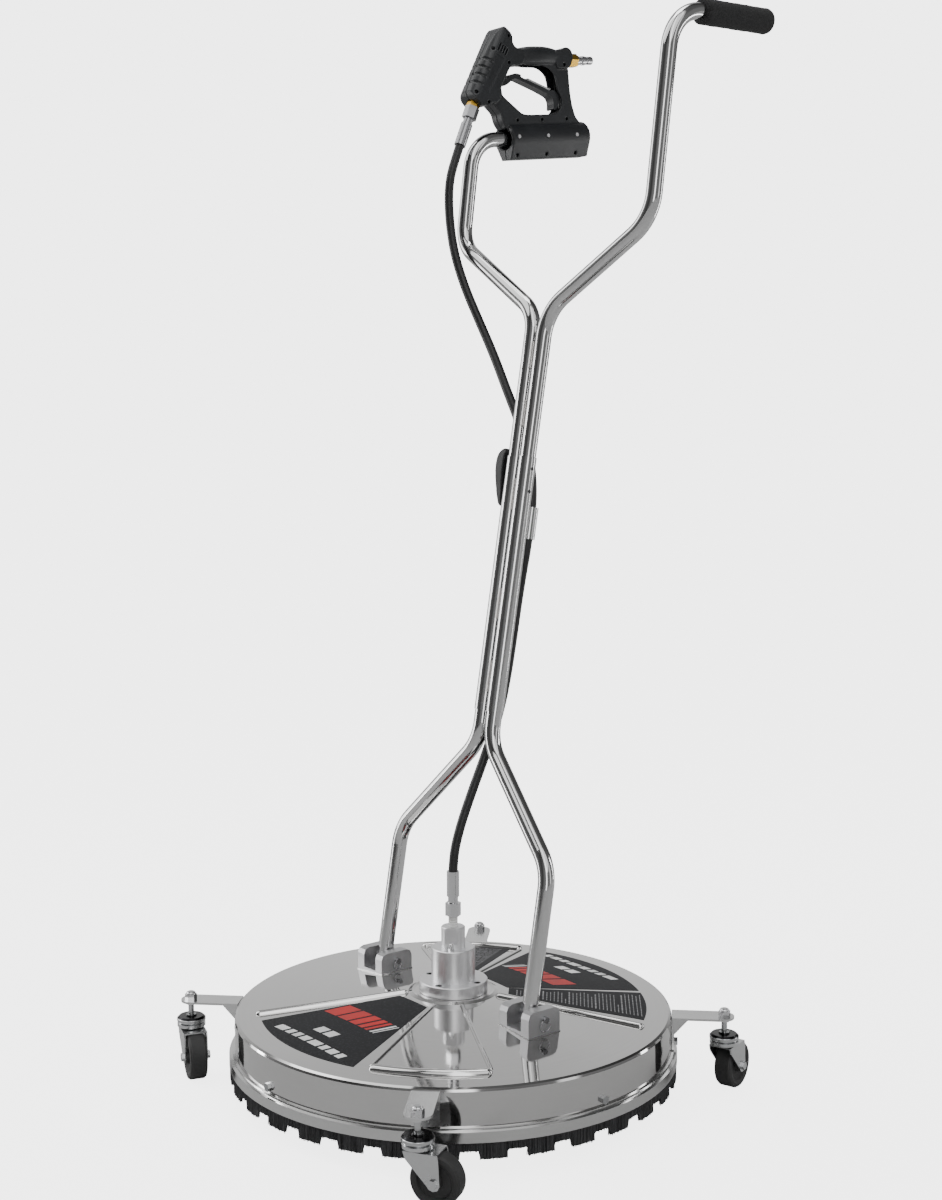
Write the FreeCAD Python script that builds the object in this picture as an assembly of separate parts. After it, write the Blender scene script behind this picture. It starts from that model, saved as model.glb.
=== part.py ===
import FreeCAD, Part
import math
import os

from FreeCAD import Base

# Surface cleaner: a stainless deck on four swivel casters, with a spray rotor under it, a brush
# skirt round it, a tilting two-tube handle and a spray gun. Millimetres. +Z is up, the origin is
# on the deck's axis at floor level, X is the handle's pin line, and the user stands at +Y.

# Driving dimensions
DECK_R = 300.0
SHEET = 2.0
RIM_Z = 108.5
CROWN_RISE = 0.09
BAND_BOTTOM_Z = 50.0
BOLT_Z = 68.0
SEAT_R = 56.0
SEAT_Z = 131.0
BRUSH_R = 304.6
BRUSH_T = 4.4
BRUSH_BOTTOM_Z = 20.0
NOTCH_Z = 31.0
NOTCH_COUNT = 32
NOTCH_ANGLE = 4.9
NOTCH_PHASE = 302.5

BEAD_HALF = 6.0
SIDE_BEAD_HALF = 3.4
END_BEAD_HALF = 7.2
END_BEAD_R = 262.0
BEAD_SINK = 1.0
BEAD_ANGLES = (-120, 30)
PANEL_ANGLES = (-45, 135)
PANEL_HALF_ANGLE = 17

LABEL_T = 0.4
LABEL_FILMS = ((-114.0, -66.5, 76, 266), (61.5, 114.0, 76, 266), (35.5, 59.5, 78, 266), (121.5, 148.5, 78, 250))

SHAFT_R = 10.0
BODY_TOP_Z = 192.0
CAP_TOP_Z = 221.0
FLANGE_R = 47.3
FLANGE_T = 16.0
FLANGE_BOLT_R = 38.5
INLET_Z = 234.0

CASTER_R = 371.4
CASTER_ANGLES = {"rear_left": 45.0, "rear_right": 135.0, "front_right": 225.0, "front_left": 315.0}
TRAIL_ANGLES = {"rear_left": 106.0, "rear_right": 200.0, "front_right": 341.0, "front_left": 30.0}
CASTER_TRAIL = 25.0
WHEEL_R = 31.75
WHEEL_W = 25.0
PLATE_TOP_Z = 106.0
PLATE_T = 3.0
STEM_R = 4.0

PIN_Z = 140.0
PIN_R = 4.0
CLEVIS_X = 160.0
LEAN = math.radians(9.8)
TUBE_R = 11.1
TUBE_BORE_R = 9.6
SLEEVE_R = 12.4
SLEEVE_BORE_R = 11.15
TUBE_X = 12.45
LEG_BEND_Z = 327.0
LEG_JOIN_Z = 471.0
SLEEVE_LOW_Z = 514.0
SLEEVE_TOP_Z = 863.0
ARM_FOOT_Z = 755.0
FORK_Z = 1063.0
ARM_BEND_Z = 1173.0
ARM_X = 195.0
ARM_LEAN = math.radians(7.5)
GRIP_Z = 1446.0
GRIP_RISE = math.radians(2.5)
BEND_R = 62.0

GUN_O = Base.Vector(-ARM_X, 250.4, 1333.5)
GUN_RISE = math.radians(7.5)
HOSE_R = 6.5
GUIDE_R = 9.2
GUIDE_LOW_Z = 753.0
GUIDE_TOP_Z = 797.0

VEC = Base.Vector
X_AXIS = VEC(1, 0, 0)
Y_AXIS = VEC(0, 1, 0)
Z_AXIS = VEC(0, 0, 1)
ORIGIN = VEC(0, 0, 0)


def save(name, *solids):
    """Write one node, as one solid or a group of separate solids."""
    shape = solids[0] if len(solids) == 1 else Part.makeCompound(list(solids))
    if not shape.isValid():
        print("invalid:", name)
    shape.exportStep(os.path.join("parts", name + ".step"))


def rod(radius, start, end, bore=0.0):
    """A straight bar between two points, or a tube if it has a bore."""
    along = end - start
    bar = Part.makeCylinder(radius, along.Length, start, along)
    if bore:
        bar = bar.cut(Part.makeCylinder(bore, along.Length, start, along))
    return bar


def ring(outer, inner, low, high):
    """A flat ring about Z."""
    return rod(outer, VEC(0, 0, low), VEC(0, 0, high), inner)


def box(low, high):
    return Part.makeBox(high[0] - low[0], high[1] - low[1], high[2] - low[2], VEC(*low))


def polygon(points):
    return Part.Wire(Part.makePolygon(points + [points[0]]).Edges)


def prism(points, along):
    """A closed outline pushed along a vector."""
    return Part.Face(polygon(points)).extrude(along)


def lathe(profile):
    """A closed outline of (radius, height) points turned about Z."""
    face = Part.Face(polygon([VEC(r, 0, z) for r, z in profile]))
    return face.revolve(ORIGIN, Z_AXIS, 360)


def hex_bar(across_flats, start, end):
    """A hexagonal bar between two points."""
    along = end - start
    radius = across_flats / math.sqrt(3)
    turn = Base.Rotation(Z_AXIS, along)
    corners = [start + turn.multVec(VEC(radius * math.cos(math.radians(60 * k)),
                                        radius * math.sin(math.radians(60 * k)), 0)) for k in range(6)]
    return prism(corners, along)


def rounded_path(points, radius):
    """Straight runs joined by tangent arcs. With no radius, each arc is as large as its runs allow."""
    edges = []
    radii = []
    start = points[0]
    for before, corner, after in zip(points, points[1:], points[2:]):
        to_before = (before - corner).normalize()
        to_after = (after - corner).normalize()
        half_turn = (math.pi - to_before.getAngle(to_after)) / 2
        shorter = min((before - corner).Length, (after - corner).Length)
        bend = radius if radius else 0.45 * shorter / math.tan(half_turn)
        reach = bend * math.tan(half_turn)
        first = corner + to_before * reach
        last = corner + to_after * reach
        middle_dir = (to_before + to_after).normalize()
        centre = corner + middle_dir * (bend / math.cos(half_turn))
        middle = centre - middle_dir * bend
        edges.append(Part.LineSegment(start, first).toShape())
        edges.append(Part.Arc(first, middle, last).toShape())
        radii.append(bend)
        start = last
    edges.append(Part.LineSegment(start, points[-1]).toShape())
    return Part.Wire(edges), radii


def smooth_prism(points, along):
    """A closed outline, with every corner turned in an arc, pushed along a vector."""
    middle = (points[0] + points[-1]) * 0.5
    return Part.Face(rounded_path([middle] + points + [middle], 0)[0]).extrude(along)


def swept(path, radius):
    """A round bar along a path."""
    start = path.Edges[0]
    at = start.valueAt(start.FirstParameter)
    along = start.tangentAt(start.FirstParameter)
    circle = Part.Wire(Part.makeCircle(radius, at, along))
    return path.makePipeShell([circle], True, False)


def bent_tube(points, radius, outer, bore):
    path = rounded_path(points, radius)[0]
    return swept(path, outer).cut(swept(path, bore))


def cord_tube(name, points):
    """A hose along its route, with the radii and the volume check printed."""
    path, radii = rounded_path(points, 0)
    tube = swept(path, HOSE_R)
    ratio = tube.Volume / (math.pi * HOSE_R ** 2 * path.Length)
    print(name, "length", round(path.Length), "radii", [round(r) for r in radii], "volume", round(ratio, 4))
    return tube


def deck_z(radius):
    """Height of the crowned deck's top."""
    return RIM_Z + (DECK_R - radius) * CROWN_RISE


def polar(radius, degrees, z):
    angle = math.radians(degrees)
    return VEC(radius * math.cos(angle), radius * math.sin(angle), z)


def turned(shape, degrees, about=ORIGIN):
    copy = shape.copy()
    copy.rotate(about, Z_AXIS, degrees)
    return copy


def lean_point(x, z, back=0.0):
    """A point in the handle's leaning plane, or behind it by some distance."""
    return VEC(x, (z - PIN_Z) * math.tan(LEAN) + back * math.cos(LEAN), z - back * math.sin(LEAN))


# ---------------------------------------------------------------- deck

def deck_solid(drop):
    """The deck filled down to its band's lower edge, shrunk by a sheet thickness."""
    radius = DECK_R - drop
    profile = [(0, BAND_BOTTOM_Z - 1), (radius, BAND_BOTTOM_Z - 1), (radius, RIM_Z - 4.5 - drop),
               (radius - 1.2, RIM_Z - 1.6 - drop), (radius - 4, deck_z(DECK_R - 4) - drop),
               (SEAT_R + 6, deck_z(SEAT_R + 6) - drop), (SEAT_R + 1, deck_z(SEAT_R + 4) + 2.2 - drop),
               (SEAT_R - 3, SEAT_Z - drop), (0, SEAT_Z - drop)]
    return lathe(profile)


def bead_point(radius, degrees):
    """A point on a pressed rib's axis, a little under the deck's top."""
    return polar(radius, degrees, deck_z(radius) - BEAD_SINK)


def radial_bead(degrees, inner, outer, half_width):
    """A pressed rib that runs outward on the deck's slope and ends round."""
    ends = (bead_point(inner, degrees), bead_point(outer, degrees))
    bead = rod(half_width, *ends)
    for end in ends:
        bead = bead.fuse(Part.makeSphere(half_width, end))
    return bead


def end_bead(degrees):
    """The thick curved rib that closes a pressed sector near the rim."""
    half_angle = PANEL_HALF_ANGLE - 1.5
    section = Part.Face(Part.Wire(Part.makeCircle(END_BEAD_HALF, bead_point(END_BEAD_R, 0), Y_AXIS)))
    bead = turned(section.revolve(ORIGIN, Z_AXIS, 2 * half_angle), degrees - half_angle)
    for side in (-1, 1):
        bead = bead.fuse(Part.makeSphere(END_BEAD_HALF, bead_point(END_BEAD_R, degrees + side * half_angle)))
    return bead


def panel_beads(degrees):
    """The side beads and the curved end bead of one pressed sector."""
    sides = [radial_bead(degrees + side * PANEL_HALF_ANGLE, 66, 254, SIDE_BEAD_HALF) for side in (-1, 1)]
    return sides + [end_bead(degrees)]


def deck_shell():
    outer = deck_solid(0)
    shell = outer.cut(deck_solid(SHEET))
    shell = shell.cut(box((-400, -400, 0), (400, 400, BAND_BOTTOM_Z)))
    beads = [radial_bead(degrees, 68, 266, BEAD_HALF) for degrees in BEAD_ANGLES]
    for degrees in PANEL_ANGLES:
        beads += panel_beads(degrees)
    for bead in beads:
        shell = shell.fuse(bead.cut(outer))
    shell = shell.cut(rod(22, VEC(0, 0, 100), VEC(0, 0, 150)))
    for k in range(4):
        flange = polar(FLANGE_BOLT_R, 20 + 90 * k, 0)
        shell = shell.cut(rod(3.2, flange + VEC(0, 0, 100), flange + VEC(0, 0, 150)))
    for k in range(8):
        shell = shell.cut(rod(3.1, polar(280, 45 * k, BOLT_Z), polar(320, 45 * k, BOLT_Z)))
    for degrees in (0, 180):
        for offset in (-15, 15):
            shell = shell.cut(rod(3.3, turned_point(CLEVIS_X, offset, degrees, 90),
                                  turned_point(CLEVIS_X, offset, degrees, 140)))
    return shell.removeSplitter()


def turned_point(x, y, degrees, z):
    return VEC(x * math.cos(math.radians(degrees)), y, z)


def brush_channel():
    """The inverted channel round the band's foot, with a rolled bead above it."""
    inner = DECK_R + 0.1
    profile = [(inner, 58.5), (inner, 43), (inner + 1.2, 43), (inner + 1.2, 55.4), (306.9, 55.4),
               (306.9, 43), (308.1, 43), (308.1, 56.6), (303.6, 57.4), (303.6, 60.2), (inner, 60.6)]
    return lathe(profile)


def brush_bristles():
    low = BRUSH_R - BRUSH_T / 2
    high = BRUSH_R + BRUSH_T / 2
    brush = ring(high, low, BRUSH_BOTTOM_Z, 55.2)
    half = math.radians(NOTCH_ANGLE / 2)
    reach = 320.0
    wedge = prism([VEC(280, -280 * math.tan(half), 10), VEC(reach, -reach * math.tan(half), 10),
                   VEC(reach, reach * math.tan(half), 10), VEC(280, 280 * math.tan(half), 10)],
                  VEC(0, 0, NOTCH_Z - 10))
    notches = [turned(wedge, NOTCH_PHASE + k * 360.0 / NOTCH_COUNT) for k in range(NOTCH_COUNT)]
    return brush.cut(Part.makeCompound(notches))


def hex_bolt(at, direction, across=10.0, head=5.0, shank=8.0):
    """A hex bolt whose head stands out along a direction."""
    return hex_bar(across, at, at + direction * head).fuse(rod(across * 0.3, at - direction * shank, at))


def skirt_bolts():
    """Four bolts hold the band to the brush ring, and four hold the caster brackets."""
    bolts = []
    for k in range(4):
        out = polar(1, 90 * k, 0)
        bolts.append(hex_bolt(polar(DECK_R + 0.1, 90 * k, BOLT_Z), out))
        out = polar(1, 45 + 90 * k, 0)
        bolts.append(hex_bolt(polar(DECK_R + PLATE_T + 0.5, 45 + 90 * k, BOLT_Z), out))
    return bolts


def sector_plate(start, end, inner, outer, thick):
    """A thin printed film that lies on the crown between two angles."""
    skin = crown_layer(0, thick, SEAT_R + 8, DECK_R - 10)
    half = (end - start) / 2
    corners = [polar(inner, -half, 80), polar(outer, -half, 80), polar(outer, half, 80), polar(inner, half, 80)]
    bulge = polar(outer, 0, 80)
    wire = Part.Wire([Part.LineSegment(corners[0], corners[1]).toShape(),
                      Part.Arc(corners[1], bulge, corners[2]).toShape(),
                      Part.LineSegment(corners[2], corners[3]).toShape(),
                      Part.LineSegment(corners[3], corners[0]).toShape()])
    cutter = turned(Part.Face(wire).extrude(VEC(0, 0, 80)), (start + end) / 2)
    return skin.common(cutter)


def crown_layer(below, above, inner, outer):
    """A layer that follows the crown's slope, between two heights over it."""
    return lathe([(inner, deck_z(inner) + below), (outer, deck_z(outer) + below), (outer, deck_z(outer) + above),
                  (inner, deck_z(inner) + above)])


def deck_labels():
    """Two large films and two narrow ones, each clear of the pressed beads."""
    return [sector_plate(*film, LABEL_T) for film in LABEL_FILMS]


# ---------------------------------------------------------------- casters

def caster_bracket(degrees):
    """An angle plate: a foot on the band, a rounded arm over the caster and two gussets."""
    face_x = DECK_R + 0.4
    half = 17.5
    foot = box((face_x, -half, 62), (face_x + PLATE_T, half, PLATE_TOP_Z))
    arm = box((face_x, -half, PLATE_TOP_Z - PLATE_T), (CASTER_R - 4, half, PLATE_TOP_Z))
    end = rod(half, VEC(CASTER_R - 4, 0, PLATE_TOP_Z - PLATE_T), VEC(CASTER_R - 4, 0, PLATE_TOP_Z))
    bracket = foot.fuse(arm).fuse(end)
    for side in (-half, half - 2.5):
        corner = VEC(face_x + PLATE_T, side, PLATE_TOP_Z - PLATE_T)
        web = prism([corner, corner + VEC(18, 0, 0), corner + VEC(0, 0, -20)], VEC(0, 2.5, 0))
        bracket = bracket.fuse(web)
    bracket = bracket.cut(rod(STEM_R + 0.1, VEC(CASTER_R, 0, 95), VEC(CASTER_R, 0, 110)))
    bracket = bracket.cut(rod(3.1, VEC(face_x - 1, 0, BOLT_Z), VEC(face_x + 8, 0, BOLT_Z)))
    return turned(bracket.removeSplitter(), degrees)


def caster_stem(degrees):
    """A threaded stem with the fixed upper race that the fork turns under."""
    at = polar(CASTER_R, degrees, 0)
    stem = rod(STEM_R, at + VEC(0, 0, 74), at + VEC(0, 0, PLATE_TOP_Z + 10.6))
    race = lathe([(0, 74), (19, 74), (20, 75.5), (20, 79), (17, 82), (8, 82), (7, 84), (0, 84)])
    race.translate(at)
    return stem.fuse(race)


def caster_nuts(degrees):
    """A locking nut with a round collar above the bracket and a thin nut below it."""
    at = polar(CASTER_R, degrees, 0)
    seat = at + VEC(0, 0, PLATE_TOP_Z)
    low_seat = seat - VEC(0, 0, PLATE_T)
    collar = lathe([(0, 6.8), (6.6, 6.8), (6.6, 8.6), (5.6, 9.8), (0, 9.8)])
    collar.translate(seat)
    top = hex_bar(14.5, seat, seat + VEC(0, 0, 7)).fuse(collar)
    low = hex_bar(13, low_seat - VEC(0, 0, 4.5), low_seat)
    bore = rod(STEM_R, at + VEC(0, 0, 90), at + VEC(0, 0, PLATE_TOP_Z + 20))
    return [top.cut(bore), low.cut(bore)]


def caster_fork():
    """Fork about its own stem axis at the origin, with the wheel trailing along +X."""
    crown = lathe([(0, 66), (15, 66), (19.6, 68), (19.6, 72.2), (17, 73.6), (0, 73.6)])
    slab = box((-12, -16.4, 63.9), (30, 16.4, 66.2))
    fork = crown.fuse(slab)
    for side in (-16.4, 14.4):
        outline = [VEC(-13, side, 66.2), VEC(30, side, 66.2), VEC(32, side, 60), VEC(33.5, side, 30),
                   VEC(31, side, 24.5), VEC(25, side, 22.5), VEC(20, side, 24.5), VEC(16.5, side, 29),
                   VEC(-10, side, 57)]
        fork = fork.fuse(prism(outline, VEC(0, 2.0, 0)))
    axle_hole = rod(4.05, VEC(CASTER_TRAIL, -30, WHEEL_R), VEC(CASTER_TRAIL, 30, WHEEL_R))
    return fork.cut(axle_hole).removeSplitter()


def caster_wheel():
    """A solid rubber wheel with a recessed web and a raised hub on each side."""
    half = WHEEL_W / 2
    profile = [(4.1, -13.2), (9, -13.2), (10, -8.5), (20.5, -8.5), (22.5, -11.5), (26, -half), (30, -half + 0.8),
               (WHEEL_R, -half + 3.5), (WHEEL_R, half - 3.5), (30, half - 0.8), (26, half), (22.5, 11.5),
               (20.5, 8.5), (10, 8.5), (9, 13.2), (4.1, 13.2)]
    wheel = lathe(profile)
    wheel.rotate(ORIGIN, X_AXIS, 90)
    wheel.translate(VEC(CASTER_TRAIL, 0, WHEEL_R))
    return wheel


def caster_axle():
    """A hex-headed axle bolt with its nut."""
    at = VEC(CASTER_TRAIL, 0, WHEEL_R)
    bolt = rod(4.0, at + VEC(0, -16.4, 0), at + VEC(0, 19, 0))
    bolt = bolt.fuse(hex_bar(10, at + VEC(0, -20, 0), at + VEC(0, -16.4, 0)))
    nut = hex_bar(10, at + VEC(0, 16.4, 0), at + VEC(0, 20.4, 0))
    return bolt.fuse(nut)


def place_caster(shape, corner):
    moved = turned(shape, TRAIL_ANGLES[corner])
    moved.translate(polar(CASTER_R, CASTER_ANGLES[corner], 0))
    return moved


def save_casters():
    save("caster_brackets", *[caster_bracket(a) for a in CASTER_ANGLES.values()])
    save("caster_stems", *[caster_stem(a) for a in CASTER_ANGLES.values()])
    save("caster_nuts", *[nut for a in CASTER_ANGLES.values() for nut in caster_nuts(a)])
    for corner in CASTER_ANGLES:
        save("caster_fork_" + corner, place_caster(caster_fork(), corner))
        save("caster_wheel_" + corner, place_caster(caster_wheel(), corner))
        save("caster_axle_" + corner, place_caster(caster_axle(), corner))


# ---------------------------------------------------------------- rotary swivel

def swivel_body():
    profile = [(21, SEAT_Z), (FLANGE_R - 0.8, SEAT_Z), (FLANGE_R, SEAT_Z + 0.8),
               (FLANGE_R, SEAT_Z + FLANGE_T - 0.8), (FLANGE_R - 0.8, SEAT_Z + FLANGE_T),
               (30, SEAT_Z + FLANGE_T), (30, BODY_TOP_Z - 1), (29, BODY_TOP_Z), (13, BODY_TOP_Z),
               (13, 186), (21, 186)]
    body = lathe(profile)
    for k in range(4):
        at = polar(FLANGE_BOLT_R, 20 + 90 * k, 0)
        body = body.cut(rod(4.9, at + VEC(0, 0, SEAT_Z + 10), at + VEC(0, 0, 160)))
        body = body.cut(rod(3.1, at + VEC(0, 0, SEAT_Z - 1), at + VEC(0, 0, 160)))
    nipple_seat = polar(23, -45, 0)
    return body.cut(rod(3.0, nipple_seat + VEC(0, 0, 186), nipple_seat + VEC(0, 0, 200)))


def flange_bolts():
    """Socket-head screws sunk in the flange."""
    bolts = []
    for k in range(4):
        at = polar(FLANGE_BOLT_R, 20 + 90 * k, 0)
        bolt = rod(4.8, at + VEC(0, 0, SEAT_Z + 10), at + VEC(0, 0, SEAT_Z + 15.4))
        bolt = bolt.fuse(rod(3.0, at + VEC(0, 0, SEAT_Z - 10), at + VEC(0, 0, SEAT_Z + 10)))
        bolts.append(bolt.cut(hex_bar(5, at + VEC(0, 0, SEAT_Z + 12.4), at + VEC(0, 0, SEAT_Z + 16))))
    return bolts


def swivel_cap():
    """The round head that the hose screws into, with two spanner flats."""
    cap = lathe([(5, 187), (12.8, 187), (12.8, BODY_TOP_Z), (16.5, BODY_TOP_Z), (16.5, CAP_TOP_Z - 1.2),
                 (15.3, CAP_TOP_Z), (6.5, CAP_TOP_Z), (6.5, 208), (5, 208)])
    flats = [box((-20, 14.2, 199), (20, 20, CAP_TOP_Z + 1)), box((-20, -20, 199), (20, -14.2, CAP_TOP_Z + 1))]
    for flat in flats:
        cap = cap.cut(turned(flat, 40))
    return cap


def grease_nipple():
    at = polar(23, -45, 0)
    nipple = hex_bar(7, at + VEC(0, 0, BODY_TOP_Z), at + VEC(0, 0, BODY_TOP_Z + 4))
    nipple = nipple.fuse(rod(3.0, at + VEC(0, 0, 187), at + VEC(0, 0, BODY_TOP_Z)))
    nipple = nipple.fuse(rod(2.0, at + VEC(0, 0, BODY_TOP_Z + 4), at + VEC(0, 0, BODY_TOP_Z + 6.5)))
    return nipple.fuse(Part.makeSphere(2.9, at + VEC(0, 0, BODY_TOP_Z + 8.2)))


def swivel_shaft():
    """The hollow shaft that carries the water down to the rotor."""
    return lathe([(4, 84), (SHAFT_R, 84), (SHAFT_R, 184), (8, 186.5), (4, 186.5)])


def swivel_bearings():
    return [ring(21, SHAFT_R + 0.05, low, low + 12) for low in (140, 164)]


def shaft_seal():
    return ring(21, SHAFT_R + 0.05, 178, 184)


def retaining_ring():
    return ring(21, 17.5, 136, 138)


def rotor_hub():
    """A round block on the shaft's foot with a socket for each arm."""
    hub = lathe([(SHAFT_R, 84), (22, 84), (23, 85), (23, 109), (22, 110), (SHAFT_R, 110)])
    return hub.cut(rod(8.0, VEC(-40, 0, 96), VEC(40, 0, 96)))


def spray_arm(degrees):
    """A tube out of the hub that bends down at its end."""
    points = [VEC(11, 0, 96), VEC(238, 0, 96), VEC(256, 0, 68)]
    return turned(bent_tube(points, 20, 8.0, 5.0), degrees)


def spray_nozzle(degrees):
    top = VEC(256, 0, 68)
    down = (top - VEC(238, 0, 96)).normalize()
    body = hex_bar(14, top, top + down * 12).fuse(rod(5, top + down * 12, top + down * 20))
    body = body.cut(rod(1.5, top, top + down * 21))
    return turned(body, degrees)


def hose_end(at, along, stem):
    """A swivel nut and the crimped ferrule that the hose leaves from."""
    nut = hex_bar(19, at, at + along * 18).fuse(rod(7, at + along * 18, at + along * 27))
    nut = nut.cut(rod(stem, at, at + along * 10))
    ferrule = rod(8.6, at + along * 27, at + along * 62).cut(rod(HOSE_R, at + along * 50, at + along * 62))
    return nut, ferrule


def save_swivel():
    save("swivel_body", swivel_body())
    save("swivel_cap", swivel_cap())
    save("grease_nipple", grease_nipple())
    save("swivel_bearings", *swivel_bearings())
    save("shaft_seal", shaft_seal())
    save("retaining_ring", retaining_ring())
    save("swivel_shaft", swivel_shaft())
    save("rotor_hub", rotor_hub())
    save("spray_arms", spray_arm(0), spray_arm(180))
    save("spray_nozzles", spray_nozzle(0), spray_nozzle(180))
    save("inlet_nipple", ring(6.4, 3.5, 209, INLET_Z + 6))
    save("hose_end_lower", *hose_end(VEC(0, 0, INLET_Z + 2), Z_AXIS, 6.5))


# ---------------------------------------------------------------- clevises

CLEVIS_LOW_Z = 110.0
CLEVIS_TOP_Z = 152.5
SLOT_FLOOR_Z = 125.6
SEAT_T = 1.4
CLEVIS_HALF = 29.0
CLEVIS_DEPTH = 27.0
EAR_T = 15.0


def clevis_block(side):
    """A block with a slot between two ears that have rounded top corners."""
    centre = CLEVIS_X * side
    low = centre - CLEVIS_HALF
    corner = 9.0
    outline = [VEC(low, -CLEVIS_DEPTH, CLEVIS_LOW_Z), VEC(low, CLEVIS_DEPTH, CLEVIS_LOW_Z),
               VEC(low, CLEVIS_DEPTH, CLEVIS_TOP_Z - corner), VEC(low, CLEVIS_DEPTH - 2.6, CLEVIS_TOP_Z - 2.6),
               VEC(low, CLEVIS_DEPTH - corner, CLEVIS_TOP_Z), VEC(low, corner - CLEVIS_DEPTH, CLEVIS_TOP_Z),
               VEC(low, 2.6 - CLEVIS_DEPTH, CLEVIS_TOP_Z - 2.6), VEC(low, -CLEVIS_DEPTH, CLEVIS_TOP_Z - corner)]
    block = prism(outline, VEC(2 * CLEVIS_HALF, 0, 0))
    slot_half = CLEVIS_HALF - EAR_T
    block = block.cut(box((centre - slot_half, -40, SLOT_FLOOR_Z), (centre + slot_half, 40, 160)))
    block = block.cut(rod(PIN_R + 0.05, VEC(centre - 40, 0, PIN_Z), VEC(centre + 40, 0, PIN_Z)))
    for offset in (-15, 15):
        block = block.cut(rod(3.1, VEC(centre, offset, 100), VEC(centre, offset, SLOT_FLOOR_Z - 1)))
    return block.cut(crown_layer(-30, SEAT_T, 100, 220))


def clevis_seat(side):
    """A thin plate between the block and the crown, with a tab toward the middle."""
    centre = CLEVIS_X * side
    slab = box((centre - 30, -CLEVIS_DEPTH - 0.5, 100), (centre + 30, CLEVIS_DEPTH + 0.5, 140))
    tab_x = centre - side * 37
    tab = box((min(tab_x, centre), -20, 100), (max(tab_x, centre), -14, 140))
    seat = crown_layer(0, SEAT_T, 100, 220).common(slab.fuse(tab))
    for offset in (-15, 15):
        seat = seat.cut(rod(3.3, VEC(centre, offset, 90), VEC(centre, offset, 140)))
    return seat


def clevis_bolts(side):
    """Bolts from under the deck into the block."""
    bolts = []
    for offset in (-15, 15):
        head_z = deck_z(CLEVIS_X) - SHEET - 0.8
        at = VEC(CLEVIS_X * side, offset, head_z)
        bolts.append(hex_bar(10, at - VEC(0, 0, 5), at).fuse(rod(3.0, at, VEC(at.x, at.y, SLOT_FLOOR_Z - 1.2))))
    return bolts


def handle_pin(side):
    """A plain pin with a small head on the inner side and a cross hole for its ring."""
    centre = CLEVIS_X * side
    pin = rod(PIN_R, VEC(centre - 31, 0, PIN_Z), VEC(centre + 35, 0, PIN_Z))
    head = rod(6.0, VEC(centre - 32.2, 0, PIN_Z), VEC(centre - 29.2, 0, PIN_Z))
    return pin.fuse(head).cut(rod(1.6, VEC(centre + 31.6, -6, PIN_Z - 0.5), VEC(centre + 31.6, 6, PIN_Z - 0.5)))


def pin_ring(side):
    """A split ring that hangs in the pin's cross hole. The outer one is larger."""
    radius = 8.0 if side > 0 else 6.0
    return Part.makeTorus(radius, 0.7, VEC(CLEVIS_X * side + 31.6, 0, PIN_Z - radius), X_AXIS)


def save_clevises():
    sides = (1, -1)
    save("clevis_blocks", *[clevis_block(s) for s in sides])
    save("clevis_seats", *[clevis_seat(s) for s in sides])
    save("handle_pins", *[make(s) for s in sides for make in (handle_pin, pin_ring)])


# ---------------------------------------------------------------- lower handle

def handle_leg(side):
    """A bent tube from the clevis up into the sleeve, closed by a drilled plug at its foot."""
    foot = lean_point(side * CLEVIS_X, PIN_Z + 14)
    points = [foot, lean_point(side * CLEVIS_X, LEG_BEND_Z), lean_point(side * TUBE_X, LEG_JOIN_Z),
              lean_point(side * TUBE_X, SLEEVE_LOW_Z + 60)]
    leg = bent_tube(points, BEND_R, TUBE_R, TUBE_BORE_R)
    down = (lean_point(side * CLEVIS_X, PIN_Z) - foot).normalize()
    plug = rod(TUBE_R - 1.2, foot, foot + down * 20)
    plug = plug.fuse(rod(TUBE_BORE_R, foot - down * 22, foot))
    plug = plug.fuse(Part.makeSphere(TUBE_R - 1.2, lean_point(side * CLEVIS_X, PIN_Z)).common(
        box((side * CLEVIS_X - 12, -12, PIN_Z - 12), (side * CLEVIS_X + 12, 12, PIN_Z))))
    hole = rod(PIN_R + 0.05, VEC(side * CLEVIS_X - 20, 0, PIN_Z), VEC(side * CLEVIS_X + 20, 0, PIN_Z))
    return leg.fuse(plug).cut(hole)


def handle_sleeve(side):
    """An outer tube that holds a leg's end below and an arm's end above."""
    low = lean_point(side * TUBE_X, SLEEVE_LOW_Z)
    top = lean_point(side * TUBE_X, SLEEVE_TOP_Z)
    sleeve = rod(SLEEVE_R, low, top, SLEEVE_BORE_R)
    seat = lean_point(side * TUBE_X, SLEEVE_LOW_Z + 60)
    return sleeve.cut(rod(TUBE_R, low, seat))


def weld_bead(low_z, high_z, tube_radius):
    """A weld between two tubes that stand side by side."""
    bead = rod(3.0, lean_point(0, low_z, -6.2), lean_point(0, high_z, -6.2))
    for side in (-1, 1):
        bead = bead.cut(rod(tube_radius, lean_point(side * TUBE_X, low_z - 60),
                            lean_point(side * TUBE_X, high_z + 60)))
    return max(bead.Solids, key=lambda solid: solid.Volume)


def sleeve_welds():
    return [weld_bead(low, low + 42, SLEEVE_R) for low in (540, 640, 790)]


def guide_line():
    """The two ends of the hose guide's axis, behind the left sleeve."""
    turn = math.radians(96)
    reach = SLEEVE_R + GUIDE_R + 0.05
    x = TUBE_X + reach * math.cos(turn)
    return lean_point(x, GUIDE_LOW_Z, reach * math.sin(turn)), lean_point(x, GUIDE_TOP_Z, reach * math.sin(turn))


def hose_guide():
    low, top = guide_line()
    return rod(GUIDE_R, low, top, HOSE_R + 0.3)


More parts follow.
